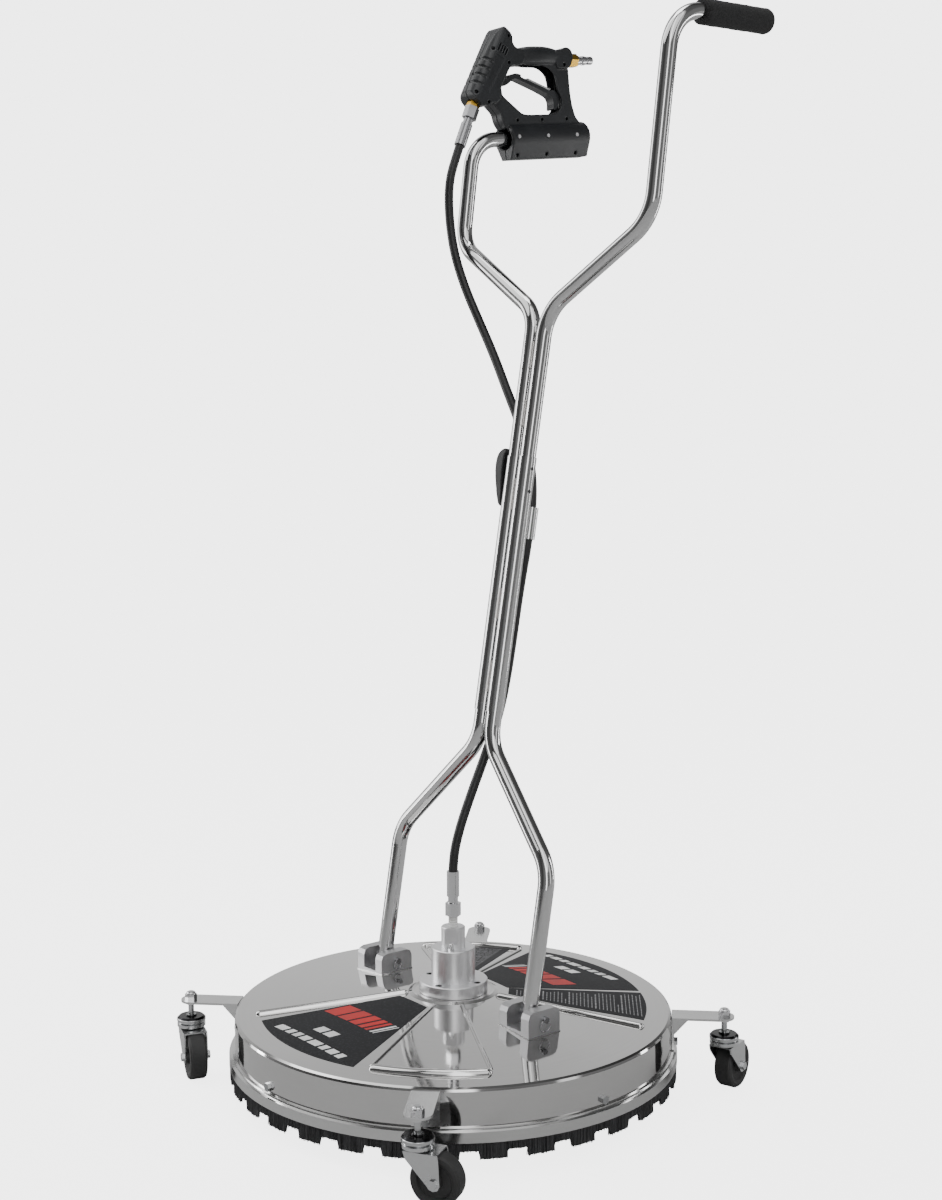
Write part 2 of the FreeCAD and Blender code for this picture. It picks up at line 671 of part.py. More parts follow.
LEVER_Z = 849.0
LEVER_SIDE = ((0, 22), (5, 26.5), (10, 24.5), (14, 15), (15.3, 3), (13.5, -16), (9.5, -38), (5.5, -53), (0, -57))
LEVER_FRONT = ((-11, 12), (-9.5, 20), (-4, 27), (4, 27), (9.5, 20), (11, 12), (11, -8), (7, -46), (4.5, -57),
               (-4.5, -57), (-7, -46), (-11, -8))
LEVER_FACE = -TUBE_X - SLEEVE_R - 2.2
SCREW_GAP = 31.0


def clamp_lever():
    """A moulded cam lever, thick at its head and thin at its tip, which turns on a stud in the right sleeve."""
    axis = lean_point(0, LEVER_Z)
    up = (lean_point(0, LEVER_Z + 10) - axis).normalize()
    across = up.cross(X_AXIS)
    face = VEC(LEVER_FACE, axis.y, axis.z)
    side = [face - across * 20 + up * z - VEC(out, 0, 0) for out, z in LEVER_SIDE]
    front = [face + VEC(5, 0, 0) + across * y + up * z for y, z in LEVER_FRONT]
    body = smooth_prism(side, across * 40).common(smooth_prism(front, VEC(-40, 0, 0)))
    return body.removeSplitter().cut(clamp_stud())


def clamp_stud():
    """The steel stud moulded into the lever, which stops just short of the arm tube."""
    axis = lean_point(0, LEVER_Z)
    return rod(4.0, VEC(LEVER_FACE - 10, axis.y, axis.z), VEC(-TUBE_X - TUBE_R - 0.3, axis.y, axis.z))


def sleeve_screws():
    """Two black set screws in the left sleeve's outer side."""
    screws = []
    for z in (LEVER_Z - 2, LEVER_Z - 2 - SCREW_GAP):
        at = lean_point(0, z)
        screw = rod(2.6, VEC(TUBE_X + TUBE_R + 0.1, at.y, at.z), VEC(TUBE_X + SLEEVE_R - 0.2, at.y, at.z))
        screws.append(screw)
    return screws


def save_lower_handle():
    save("handle_leg_left", handle_leg(1))
    save("handle_leg_right", handle_leg(-1))
    sleeves = {side: handle_sleeve(side) for side in (1, -1)}
    for screw in sleeve_screws():
        sleeves[1] = sleeves[1].cut(screw_hole(screw, 2.6))
    axis = lean_point(0, LEVER_Z)
    sleeves[-1] = sleeves[-1].cut(rod(4.05, VEC(-60, axis.y, axis.z), VEC(-TUBE_X, axis.y, axis.z)))
    save("handle_sleeves", sleeves[1], sleeves[-1])
    save("sleeve_welds", *sleeve_welds())
    save("hose_guide", hose_guide())
    save("sleeve_screws", *sleeve_screws())
    save("clamp_lever", clamp_lever())
    save("clamp_stud", clamp_stud())


def screw_hole(screw, radius):
    centre = screw.CenterOfMass
    return rod(radius, VEC(centre.x - 1.5, centre.y, centre.z), VEC(centre.x + 8, centre.y, centre.z))


# ---------------------------------------------------------------- upper handle

def arm_corner(side, z):
    """A point on an arm's upright stretch."""
    bend = lean_point(0, ARM_BEND_Z)
    return VEC(side * ARM_X, bend.y + (z - ARM_BEND_Z) * math.tan(ARM_LEAN), z)


def arm_points(side, corner, end):
    return [lean_point(side * TUBE_X, ARM_FOOT_Z), lean_point(side * TUBE_X, FORK_Z),
            lean_point(side * ARM_X, ARM_BEND_Z), corner, end]


def grip_end(distance):
    corner = arm_corner(1, GRIP_Z)
    return corner + VEC(0, math.cos(GRIP_RISE), math.sin(GRIP_RISE)) * distance


def grip_arm():
    points = arm_points(1, arm_corner(1, GRIP_Z), grip_end(178))
    return bent_tube(points, BEND_R, TUBE_R, TUBE_BORE_R)


def gun_axis():
    return VEC(0, math.cos(GUN_RISE), math.sin(GUN_RISE))


def gun_arm():
    along = gun_axis()
    end = GUN_O + along * 158
    upright = arm_corner(-1, ARM_BEND_Z)
    rise = VEC(0, math.tan(ARM_LEAN), 1)
    # The corner is where the upright stretch meets the gun's bore line.
    reach = (upright.y - GUN_O.y + (GUN_O.z - upright.z) * rise.y) / (along.y - along.z * rise.y)
    corner = GUN_O + along * reach
    points = arm_points(-1, corner, end)
    return bent_tube(points, 52.0, TUBE_R, TUBE_BORE_R)


def arm_welds():
    return [weld_bead(low, low + 36, TUBE_R) for low in (905, 985)]


def foam_grip():
    """A soft sleeve with a closed, rounded end."""
    start = grip_end(52)
    end = grip_end(184)
    grip = rod(17.2, start, end)
    grip = grip.makeFillet(5.0, [e for e in grip.Edges if e.Closed and e.Curve.TypeId == "Part::GeomCircle"])
    return grip.cut(rod(TUBE_R, start, grip_end(178)))


def save_upper_handle():
    save("grip_arm", grip_arm())
    save("gun_arm", gun_arm())
    save("arm_welds", *arm_welds())
    save("foam_grip", foam_grip())


# ---------------------------------------------------------------- spray gun

BLOCK_HALF = 20.0
LUG_HALF = 15.5
BASE_R = 22.5
BASE_LENGTH = 157.0
BASE_START = 8.0
BASE_LOW = 31.0
PLATE_HALF = 12.0
FOOT_HALF = 10.5
NOSE_R = 17.0
NOSE_POINT = (-38.7, 100.0)
NOSE_RUN = (0.574, 0.819)
TRIGGER_PIN = (-14.0, 92.0)
LATCH_PIN = (103.5, 71.2)
TRIGGER_HALF = 8.0
TRIGGER_ROOM = 9.0
CATCH_ROOM = 5.5
PORT_V = 114.0
NOSE_DOME_R = 15.0
NOSE_TOP = 85.0
RIDGE_DEPTH = 1.6
RIDGE_PLACES = (19.0, 5.5, -8.0, -21.5)
RIDGE_WIDTH = 3.6
GRIP_STATIONS = ((20, 117, 9.5, 13.5), (34, 117.5, 11.6, 14.2), (50, 118.4, 13.6, 15.6), (66, 118.8, 15.2, 16.6),
                 (84, 118.9, 15.6, 17.0), (102, 118.6, 15.2, 16.6), (118, 116.8, 14, 15.6), (132, 115.5, 14, 15.0))


def gun_point(u, v, x=0.0):
    """A point in the gun's frame: u along the bore, v up, x across."""
    up = VEC(0, -math.sin(GUN_RISE), math.cos(GUN_RISE))
    return GUN_O + gun_axis() * u + up * v + VEC(x, 0, 0)


def gun_slab(outline, half):
    points = [gun_point(u, v, -half) for u, v in outline]
    return prism(points, VEC(2 * half, 0, 0))


def rounded_slab(outline, half):
    """A slab across the gun whose outline turns every corner in an arc as large as its sides allow."""
    return smooth_prism([gun_point(u, v, -half) for u, v in outline], VEC(2 * half, 0, 0))


def nose_placed(shape):
    """Move a form from its own frame to the valve housing: X is the depth behind the front, Z runs up it."""
    up = gun_point(*NOSE_RUN) - GUN_O
    back = gun_point(NOSE_RUN[1], -NOSE_RUN[0]) - GUN_O
    shape.Placement = Base.Placement(gun_point(*NOSE_POINT), Base.Rotation(back, VEC(), up, "XZY"))
    return shape


def nose_bar(depth, half, radius):
    """A long bar with a rounded front, which starts at some depth."""
    bar = box((depth, -half, -80), (130, half, 100))
    front = [e for e in bar.Edges if all(abs(v.X - depth) < 0.01 for v in e.Vertexes)
             and abs(e.Vertexes[0].Z - e.Vertexes[1].Z) > 1]
    return nose_placed(bar.makeFillet(radius, front))


def nose_dome():
    """A slab with a rounded top, seen from the front."""
    bar = box((-20, -BLOCK_HALF, -80), (130, BLOCK_HALF, NOSE_TOP))
    top = [e for e in bar.Edges if all(v.Z > NOSE_TOP - 1 for v in e.Vertexes) and abs(e.Vertexes[0].X - e.Vertexes[1].X) > 1]
    return nose_placed(bar.makeFillet(NOSE_DOME_R, top))


def valve_housing():
    """The tilted body round the valve, with a rounded nose, finger ridges, vents and a framed panel."""
    outline = [(-44, 47.5), (-52.5, 57), (-57, 64), (-57.5, 70), (-52.5, 78.7), (-38.7, 100), (-22.8, 121.6),
               (-3.3, 146.8), (4.5, 155), (13, 160.5), (21, 160.5), (26.5, 154), (27, 144), (25.5, 137), (30, 130.5),
               (38, 127.5), (50, 126), (44, 104), (18.5, 104.3), (8.4, 91), (-1.9, 76.7), (-5.3, 71.7), (-3.9, 61.4),
               (-13, 51), (-23.5, 51.5), (-31, 46.5)]
    body = rounded_slab(outline, BLOCK_HALF).common(nose_bar(0, BLOCK_HALF, NOSE_R)).common(nose_dome())
    core = nose_bar(RIDGE_DEPTH, BLOCK_HALF - RIDGE_DEPTH, NOSE_R - RIDGE_DEPTH)
    for z in RIDGE_PLACES:
        band = nose_placed(box((-5, -30, z), (14, 30, z + RIDGE_WIDTH)))
        body = body.cut(band.cut(core))
    panel = [(-5.6, 122.6), (8.7, 114.5), (-29.8, 64.7), (-40.8, 74.9)]
    inner = [(-6, 119.6), (5.9, 113.2), (-29.9, 67.6), (-38, 75.2)]
    body = body.cut(face_pocket(panel, BLOCK_HALF, 1.0).cut(face_pocket(inner, BLOCK_HALF, 1.0)))
    body = body.cut(face_pocket(inner, BLOCK_HALF, 0.4))
    for k in range(4):
        u = 2.2 + 4.1 * k
        v = 136.0 - 2.3 * k
        slot = [(u, v), (u + 1.8, v - 1.1), (u - 4.9, v - 11.2), (u - 6.7, v - 10.1)]
        body = body.cut(face_pocket(slot, BLOCK_HALF, 5.0))
    return body


def face_pocket(outline, half, depth):
    """A recess with one outline in both side faces of the gun."""
    near = prism([gun_point(u, v, half - depth) for u, v in outline], VEC(depth + 5, 0, 0))
    far = prism([gun_point(u, v, depth - half) for u, v in outline], VEC(-depth - 5, 0, 0))
    return near.fuse(far)


def oval(u, v, half_height, half_width):
    """A slightly squared oval section across the handle."""
    points = []
    for k in range(16):
        angle = 2 * math.pi * k / 16
        c = math.cos(angle)
        s = math.sin(angle)
        across = math.copysign(abs(c) ** 0.8, c) * half_width
        height = math.copysign(abs(s) ** 0.8, s) * half_height
        points.append(gun_point(u, v + height, across))
    curve = Part.BSplineCurve()
    curve.interpolate(points, PeriodicFlag=True)
    return Part.Wire(curve.toShape())


def hand_grip():
    """The bulging oval handle over the trigger, and the lug at its rear end."""
    grip = Part.makeLoft([oval(*station) for station in GRIP_STATIONS], True)
    lug = rounded_slab([(114, 102), (118, 100), (136, 100), (141, 102), (146, 108), (149.5, 116), (148.5, 125),
                        (144, 130), (136.5, 132), (130.5, 130), (125, 127.5), (114, 128)], LUG_HALF)
    return grip.fuse(lug)


def guard_frame():
    """The flat frame from the valve housing down to the clamp and up to the handle's rear."""
    outer = [(-20, 52), (-4, 37), (-2.5, 25), (6, 12), (160, 12), (155.5, 20), (147, 28.5), (141.8, 46),
             (140, 67), (140.5, 101), (136, 106), (20, 108), (-10, 75)]
    window = [(24, 105), (14, 93), (4, 77.5), (1, 72), (2.6, 62), (38.5, 35), (50, 33.5), (102, 33.5), (110, 35),
              (118, 42), (121.5, 52), (120, 60), (114.5, 68), (112.8, 84), (111, 92), (105, 98.5), (94, 104.5), (60, 107)]
    return rounded_slab(outer, PLATE_HALF).cut(rounded_slab(window, 40))


def clamp_base():
    """A thick tube over the arm that narrows to a flat foot below it."""
    start = gun_point(BASE_START, 0)
    along = gun_axis() * BASE_LENGTH
    barrel = Part.makeCylinder(BASE_R, BASE_LENGTH, start, along)
    tangent = (20.5, -9.3)
    low = -BASE_LOW
    skirt = [gun_point(BASE_START, tangent[1], tangent[0]), gun_point(BASE_START, low, FOOT_HALF),
             gun_point(BASE_START, low, -FOOT_HALF), gun_point(BASE_START, tangent[1], -tangent[0])]
    return barrel.fuse(prism(skirt, along))


def trigger_well():
    """Room for the trigger's root in the housing, its channel under the grip and the one down the rear strut."""
    root = gun_slab([(-29, 92), (-17, 68), (-4, 62), (16, 74), (30, 94), (74, 94), (74, 113), (24, 113), (-14, 108)],
                    TRIGGER_ROOM)
    under = gun_slab([(70, 94), (112, 94), (112, 108), (70, 113)], TRIGGER_ROOM)
    strut = gun_slab([(104, 36), (117, 36), (126, 43), (127.5, 96), (118, 106), (104, 106)], TRIGGER_ROOM)
    return root.fuse(under).fuse(strut)


SCREW_R = 2.6
BLOCK_SCREWS = [(19.8, 146.5), (-10.3, 128.6), (-51.2, 66.9), (-31.2, 52.0), (15.4, 108.0)]
LUG_SCREWS = [(130.5, 106)]
FRAME_SCREWS = [(28.1, 26), (77.4, 26), (128.2, 26)]
FOOT_SCREWS = [(19.8, -25), (78.8, -25), (138.4, -25)]
SCREW_GROUPS = [(BLOCK_HALF, BLOCK_SCREWS), (LUG_HALF, LUG_SCREWS), (PLATE_HALF, FRAME_SCREWS),
                (FOOT_HALF + 2.0, FOOT_SCREWS)]
SCREW_TOP = 6.0
SCREW_LENGTH = 4.5
CLAMP_SCREWS = [19.0, 77.3, 136.8]
CLAMP_HEAD_R = 2.7
CLAMP_HEAD_T = 1.6
VALVE_R = 6.6
VALVE_LINE = (gun_point(-46.2, 74), gun_point(-4.9, 133))
OUTLET_RUN = (-0.507, -0.862)


def gun_housing():
    """The whole moulding, still in one piece, with its bores."""
    body = valve_housing().fuse(hand_grip()).fuse(guard_frame()).fuse(clamp_base())
    body = body.cut(rod(16.0, gun_point(BASE_START - 1, 0), gun_point(BASE_START + 14, 0)))
    body = body.cut(rod(TUBE_R + 0.02, gun_point(0, 0), gun_point(160, 0)))
    body = body.cut(trigger_well()).cut(rod(VALVE_R, *VALVE_LINE))
    body = body.cut(rod(6.5, outlet_point(-3), outlet_point(10))).cut(rod(10.2, outlet_point(6.8), outlet_point(30)))
    body = body.cut(rod(6.8, gun_point(123, PORT_V), gun_point(170, PORT_V)))
    body = body.cut(rod(2.5, gun_point(*TRIGGER_PIN, -13), gun_point(*TRIGGER_PIN, 13)))
    for half, places in SCREW_GROUPS:
        for u, v in places:
            deep = half - SCREW_TOP - SCREW_LENGTH
            body = body.cut(rod(SCREW_R, gun_point(u, v, deep), gun_point(u, v, 30)))
    for u in CLAMP_SCREWS:
        body = body.cut(rod(2.1, gun_point(u, 1, 0), gun_point(u, 1, 30)))
        body = body.cut(rod(CLAMP_HEAD_R + 0.05, gun_point(u, 1, BASE_R - CLAMP_HEAD_T), gun_point(u, 1, 30)))
    return body.removeSplitter()


def outlet_point(distance):
    """A point on the outlet's axis, which leaves the housing downward."""
    return gun_point(-39 + OUTLET_RUN[0] * distance, 62 + OUTLET_RUN[1] * distance)


def gun_shells():
    """The housing parted along its middle plane."""
    whole = gun_housing()
    near = box((-ARM_X + 0.05, -100, 1100), (-ARM_X + 100, 700, 1700))
    far = box((-ARM_X - 100, -100, 1100), (-ARM_X - 0.05, 700, 1700))
    return whole.common(near), whole.common(far)


def gun_screws():
    screws = []
    for half, places in SCREW_GROUPS:
        for u, v in places:
            top = half - SCREW_TOP
            screw = rod(SCREW_R - 0.05, gun_point(u, v, top - SCREW_LENGTH), gun_point(u, v, top))
            screws.append(screw.cut(hex_bar(2.6, gun_point(u, v, top - 2), gun_point(u, v, half))))
    return screws


def clamp_screws():
    """Bright screws through the clamp into the arm tube."""
    screws = []
    for u in CLAMP_SCREWS:
        under_head = BASE_R - CLAMP_HEAD_T + 0.1
        screw = rod(2.05, gun_point(u, 1, TUBE_R + 0.1), gun_point(u, 1, under_head))
        screws.append(screw.fuse(rod(CLAMP_HEAD_R, gun_point(u, 1, under_head), gun_point(u, 1, BASE_R + 0.4))))
    return screws


def valve_body():
    """The brass valve inside the housing."""
    return rod(VALVE_R, *VALVE_LINE)


def brass_fittings():
    """The hexagons that the hose nut and the inlet plug screw onto."""
    outlet = hex_bar(17, outlet_point(7), outlet_point(18)).fuse(rod(6.5, outlet_point(-3), outlet_point(7)))
    outlet = outlet.fuse(rod(6.5, outlet_point(18), outlet_point(27)))
    inlet = hex_bar(19, gun_point(150, PORT_V), gun_point(166, PORT_V))
    return outlet, inlet.fuse(rod(6.8, gun_point(124, PORT_V), gun_point(150, PORT_V)))


def inlet_plug():
    """The quick-connect plug that the machine's supply hose snaps onto."""
    steps = [(166, 171, 8.0), (171, 179, 5.6), (179, 185, 7.0), (185, 190, 5.2), (190, 200, 6.2)]
    plug = None
    for start, end, radius in steps:
        step = rod(radius, gun_point(start, PORT_V), gun_point(end, PORT_V))
        plug = plug.fuse(step) if plug else step
    return plug.cut(rod(2.6, gun_point(166, PORT_V), gun_point(201, PORT_V)))


def gun_trigger():
    """The bent lever that the hand closes, open on top like a channel, with one wall cut down for the catch."""
    outline = [(-20, 96), (-18, 86), (-4, 80), (9, 75), (20.5, 79.5), (29, 86.2), (36.5, 86.6), (83, 69.4), (104, 60),
               (107.5, 51), (105.5, 41), (111, 40.2), (117.5, 51), (119.3, 58.5), (116.4, 66), (67, 84.2), (41, 94),
               (34, 94.5), (25.5, 92), (17.5, 85.5), (8, 90), (-8, 100)]
    lever = rounded_slab(outline, TRIGGER_HALF)
    lever = lever.cut(gun_slab([(46, 96), (112, 71.5), (109.5, 65), (43, 89.8)], CATCH_ROOM))
    near_wall = [gun_point(u, v, CATCH_ROOM - 1) for u, v in ((47, 96), (107.5, 73.4), (106.3, 67.2), (45.8, 89.2))]
    lever = lever.cut(prism(near_wall, VEC(6, 0, 0)))
    lever = lever.cut(rod(1.05, gun_point(*LATCH_PIN, -7), gun_point(*LATCH_PIN, 7)))
    return lever.cut(rod(2.55, gun_point(*TRIGGER_PIN, -12), gun_point(*TRIGGER_PIN, 12)))


def trigger_latch():
    """The small catch in the trigger that stops it closing."""
    outline = [(62, 87.6), (104.8, 71.9), (105.6, 71.0), (104.6, 69.2), (102, 69.0), (61.2, 84.6)]
    half = CATCH_ROOM - 0.4
    return gun_slab(outline, half).fuse(rod(1.0, gun_point(*LATCH_PIN, -6.8), gun_point(*LATCH_PIN, 6.8)))


def trigger_pin():
    return rod(2.5, gun_point(*TRIGGER_PIN, -13), gun_point(*TRIGGER_PIN, 13))


def save_gun():
    near, far = gun_shells()
    save("gun_shell_left", near)
    save("gun_shell_right", far)
    save("gun_screws", *gun_screws())
    save("clamp_screws", *clamp_screws())
    save("valve_body", valve_body())
    save("brass_fittings", *brass_fittings())
    save("inlet_plug", inlet_plug())
    save("gun_trigger", gun_trigger())
    save("trigger_latch", trigger_latch())
    save("trigger_pin", trigger_pin())
    save("hose_end_upper", *hose_end(outlet_point(18), outlet_point(19) - outlet_point(18), 6.6))


# ---------------------------------------------------------------- hose

UPPER_ROUTE = [(-195, 152, 1262), (-193, 150, 1215), (-183, 151, 1160), (-165, 157, 1108), (-138, 162, 1058),
               (-106, 163, 1008), (-72, 158, 958), (-40, 156, 908), (-14, 152, 864)]
LOWER_ROUTE = [(4, 123, 706), (1, 116, 660), (0, 108, 612), (0, 98, 562), (0, 85, 512), (0, 60, 456), (0, 33, 402),
               (0, 12, 356)]


def save_hoses():
    low, top = guide_line()
    middle = (low + top) * 0.5
    along = (top - low).normalize()
    upper = [outlet_point(68), outlet_point(100)] + [VEC(*p) for p in UPPER_ROUTE]
    upper += [top + along * 14, middle]
    lower = [middle, low - along * 14] + [VEC(*p) for p in LOWER_ROUTE]
    lower += [VEC(0, 0, 316), VEC(0, 0, INLET_Z + 2 + 50)]
    save("hose_upper", cord_tube("hose_upper", upper))
    save("hose_lower", cord_tube("hose_lower", lower))


def main():
    os.makedirs("parts", exist_ok=True)
    save("deck_shell", deck_shell())
    save("brush_channel", brush_channel())
    save("brush_bristles", brush_bristles())
    save("deck_bolts", *skirt_bolts(), *flange_bolts(), *clevis_bolts(1), *clevis_bolts(-1))
    save("deck_labels", *deck_labels())
    save_casters()
    save_swivel()
    save_clevises()
    save_lower_handle()
    save_upper_handle()
    save_gun()
    save_hoses()


main()
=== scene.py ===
import math
import random

import bpy
from mathutils import Matrix, Vector


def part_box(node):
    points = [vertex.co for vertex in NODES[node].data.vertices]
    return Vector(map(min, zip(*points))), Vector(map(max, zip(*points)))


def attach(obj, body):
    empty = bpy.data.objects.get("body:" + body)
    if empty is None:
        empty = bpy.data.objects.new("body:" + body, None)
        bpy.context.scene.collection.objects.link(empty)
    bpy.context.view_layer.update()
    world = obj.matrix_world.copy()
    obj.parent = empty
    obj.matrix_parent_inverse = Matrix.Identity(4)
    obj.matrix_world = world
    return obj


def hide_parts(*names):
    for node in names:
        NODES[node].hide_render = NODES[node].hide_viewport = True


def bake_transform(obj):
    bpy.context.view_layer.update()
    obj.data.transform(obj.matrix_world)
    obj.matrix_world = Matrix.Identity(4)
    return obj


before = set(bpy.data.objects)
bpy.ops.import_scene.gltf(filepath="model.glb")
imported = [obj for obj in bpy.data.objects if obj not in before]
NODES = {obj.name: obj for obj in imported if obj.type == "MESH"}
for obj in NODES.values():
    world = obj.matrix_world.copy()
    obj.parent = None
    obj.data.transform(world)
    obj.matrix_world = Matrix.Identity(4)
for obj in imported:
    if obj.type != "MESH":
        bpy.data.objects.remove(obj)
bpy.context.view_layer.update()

# A stainless surface cleaner in a pale studio. Metres, +Z up, the user stands at +Y.

random.seed(7)

CASTERS = ("rear_left", "rear_right", "front_right", "front_left")

# The camera: where it stands, its bearing, pitch and roll in degrees, and its lens in millimetres.
CAMERA_PLACE = (1.7708, -1.4086, 0.8944)
CAMERA_TURN = (50.85, 5.62, -0.13)
CAMERA_LENS = 50.47
CAMERA_SENSOR = 36.0

# How bright the floor and the backdrop look when they are seen straight, and the floor's own share of it.
PALE = 4.2
FLOOR_SHARE = 0.45
FLOOR_HALF = 80

# The hose's diameter and the control points of its two routes, above and below the guide tube.
HOSE_D = 0.013
HOSE_UPPER = [(-0.1950, 0.1771, 1.3273), (-0.1950, 0.1646, 1.2978), (-0.1950, 0.1520, 1.2620),
              (-0.1930, 0.1500, 1.2150), (-0.1830, 0.1510, 1.1600), (-0.1650, 0.1570, 1.1080),
              (-0.1380, 0.1620, 1.0580), (-0.1060, 0.1630, 1.0080), (-0.0720, 0.1580, 0.9580),
              (-0.0400, 0.1560, 0.9080), (-0.0140, 0.1520, 0.8640), (0.0102, 0.1371, 0.8071),
              (0.0102, 0.1309, 0.7713)]
HOSE_LOWER = [(0.0102, 0.1309, 0.7713), (0.0102, 0.1247, 0.7355), (0.0040, 0.1230, 0.7060),
              (0.0010, 0.1160, 0.6600), (0.0000, 0.1080, 0.6120), (0.0000, 0.0980, 0.5620),
              (0.0000, 0.0850, 0.5120), (0.0000, 0.0600, 0.4560), (0.0000, 0.0330, 0.4020),
              (0.0000, 0.0120, 0.3560), (0.0000, 0.0000, 0.3160), (0.0000, 0.0000, 0.2860)]


# ---------------------------------------------------------------- camera and light

def make_camera():
    azimuth, pitch, roll = (math.radians(degrees) for degrees in CAMERA_TURN)
    level = math.cos(pitch)
    forward = Vector((-math.sin(azimuth) * level, math.cos(azimuth) * level, -math.sin(pitch)))
    right = Vector((math.cos(azimuth), math.sin(azimuth), 0))
    up = right.cross(forward)
    rolled_right = right * math.cos(roll) + up * math.sin(roll)
    rolled_up = up * math.cos(roll) - right * math.sin(roll)
    data = bpy.data.cameras.new("camera")
    data.lens = CAMERA_LENS
    data.sensor_width = CAMERA_SENSOR
    data.sensor_fit = "AUTO"
    data.clip_start = 0.05
    data.clip_end = 200
    camera = bpy.data.objects.new("camera", data)
    bpy.context.scene.collection.objects.link(camera)
    turn = Matrix((rolled_right, rolled_up, -forward)).transposed().to_4x4()
    camera.matrix_world = Matrix.Translation(CAMERA_PLACE) @ turn
    bpy.context.scene.camera = camera


def area_light(name, place, target, size, power, size_y=None):
    """A soft rectangular lamp that faces a target."""
    data = bpy.data.lights.new(name, "AREA")
    data.energy = power
    data.shape = "RECTANGLE"
    data.size = size
    data.size_y = size_y or size
    light = bpy.data.objects.new(name, data)
    bpy.context.scene.collection.objects.link(light)
    light.location = place
    light.rotation_mode = "QUATERNION"
    light.rotation_quaternion = (Vector(target) - Vector(place)).to_track_quat("-Z", "Y")


def sun_light(name, along, power, spread):
    """A broad soft sun that shines along a direction."""
    data = bpy.data.lights.new(name, "SUN")
    data.energy = power
    data.angle = math.radians(spread)
    light = bpy.data.objects.new(name, data)
    bpy.context.scene.collection.objects.link(light)
    light.rotation_mode = "QUATERNION"
    light.rotation_quaternion = Vector(along).to_track_quat("-Z", "Y")


# Brightness of the studio's walls round the object, by the angle from the front-left caster.
WALLS = ((-180, 0.95), (-150, 0.85), (-130, 0.50), (-124, 4.2), (-112, 4.2), (-107, 0.30), (-80, 0.12),
         (-52, 0.06), (-28, 0.22), (-4, 0.28), (0, 3.2), (9, 3.2), (13, 0.28), (30, 0.20), (52, 0.26),
         (56, 1.6), (63, 1.6), (67, 0.24), (100, 0.22), (128, 0.08), (142, 0.14), (158, 0.80), (180, 0.95))
# And by height: 0.5 is level and 1 is straight up.
HEIGHTS = ((0.0, 0.8), (0.47, 0.8), (0.52, 1.0), (0.72, 0.95), (0.82, 0.55), (0.92, 0.5), (1.0, 0.7))
# A colour ramp holds values up to 1, so the walls are stored divided by this.
WALL_SCALE = 5.0
WALL_BEARING = 38.5


def make_world():
    """Walls of several brightnesses for the reflections, behind a plain pale tone for the camera."""
    world = bpy.data.worlds.new("studio")
    bpy.context.scene.world = world
    world.use_nodes = True
    net = Network(world.node_tree)
    turn = net.node("VectorRotate", net.coords("Generated"), rotation_type="Z_AXIS")
    turn.inputs["Angle"].default_value = math.radians(WALL_BEARING)
    x, y, z = net.split(turn.outputs[0])[:3]
    angle = net.math("ARCTAN2", y, x)
    walls = net.ramp(net.math("MULTIPLY_ADD", angle, 0.5 / math.pi, 0.5),
                     [((degrees + 180) / 360, value / WALL_SCALE) for degrees, value in WALLS])
    heights = net.ramp(net.math("MULTIPLY_ADD", z, 0.5, 0.5), HEIGHTS)
    tone = net.math("MULTIPLY", net.math("MULTIPLY", walls, heights), WALL_SCALE)
    seen = net.camera_ray()
    rest = net.math("SUBTRACT", 1.0, seen)
    background = world.node_tree.nodes["Background"]
    background.inputs["Color"].default_value = (1.0, 1.0, 1.0, 1.0)
    net.feed(background.inputs["Strength"],
             net.math("MULTIPLY_ADD", seen, PALE, net.math("MULTIPLY", tone, rest)))


def make_floor():
    """A plain pale sheet that glows a little where it is looked at straight."""
    far = FLOOR_HALF
    corners = [(-far, -far, 0), (far, -far, 0), (far, far, 0), (-far, far, 0)]
    floor = new_mesh("floor", corners, [(0, 1, 2, 3)])
    paint = Shader("floor_paint", rough=0.9, Specular_IOR_Level=0.0)
    grain = paint.noise(paint.coords(), 0.7, detail=3)
    paint.colour(paint.ramp(grain, [(0.3, (0.50, 0.50, 0.50)), (0.7, (0.52, 0.52, 0.52))]))
    paint.set("Emission Color", (1.0, 1.0, 1.0, 1.0))
    glow = paint.math("MULTIPLY", paint.camera_ray(), PALE - FLOOR_SHARE)
    paint.feed(paint.shader.inputs["Emission Strength"], glow)
    floor.data.materials.append(paint.material)


def make_studio():
    make_floor()
    make_world()
    sun_light("sun_left", (0.55, 0.75, -1.3), 1.0, 50)
    sun_light("sun_right", (-0.9, 0.35, -1.2), 0.8, 50)
    area_light("strip_left", (-1.55, -1.15, 0.8), (0, 0, 0.6), size=0.22, power=9, size_y=1.5)
    area_light("strip_right", (1.0, 2.3, 0.9), (0, 0, 0.6), size=0.25, power=9, size_y=1.6)
    area_light("top", (-0.3, 0.4, 3.4), (0, 0, 0), size=1.0, power=14)


# ---------------------------------------------------------------- node materials

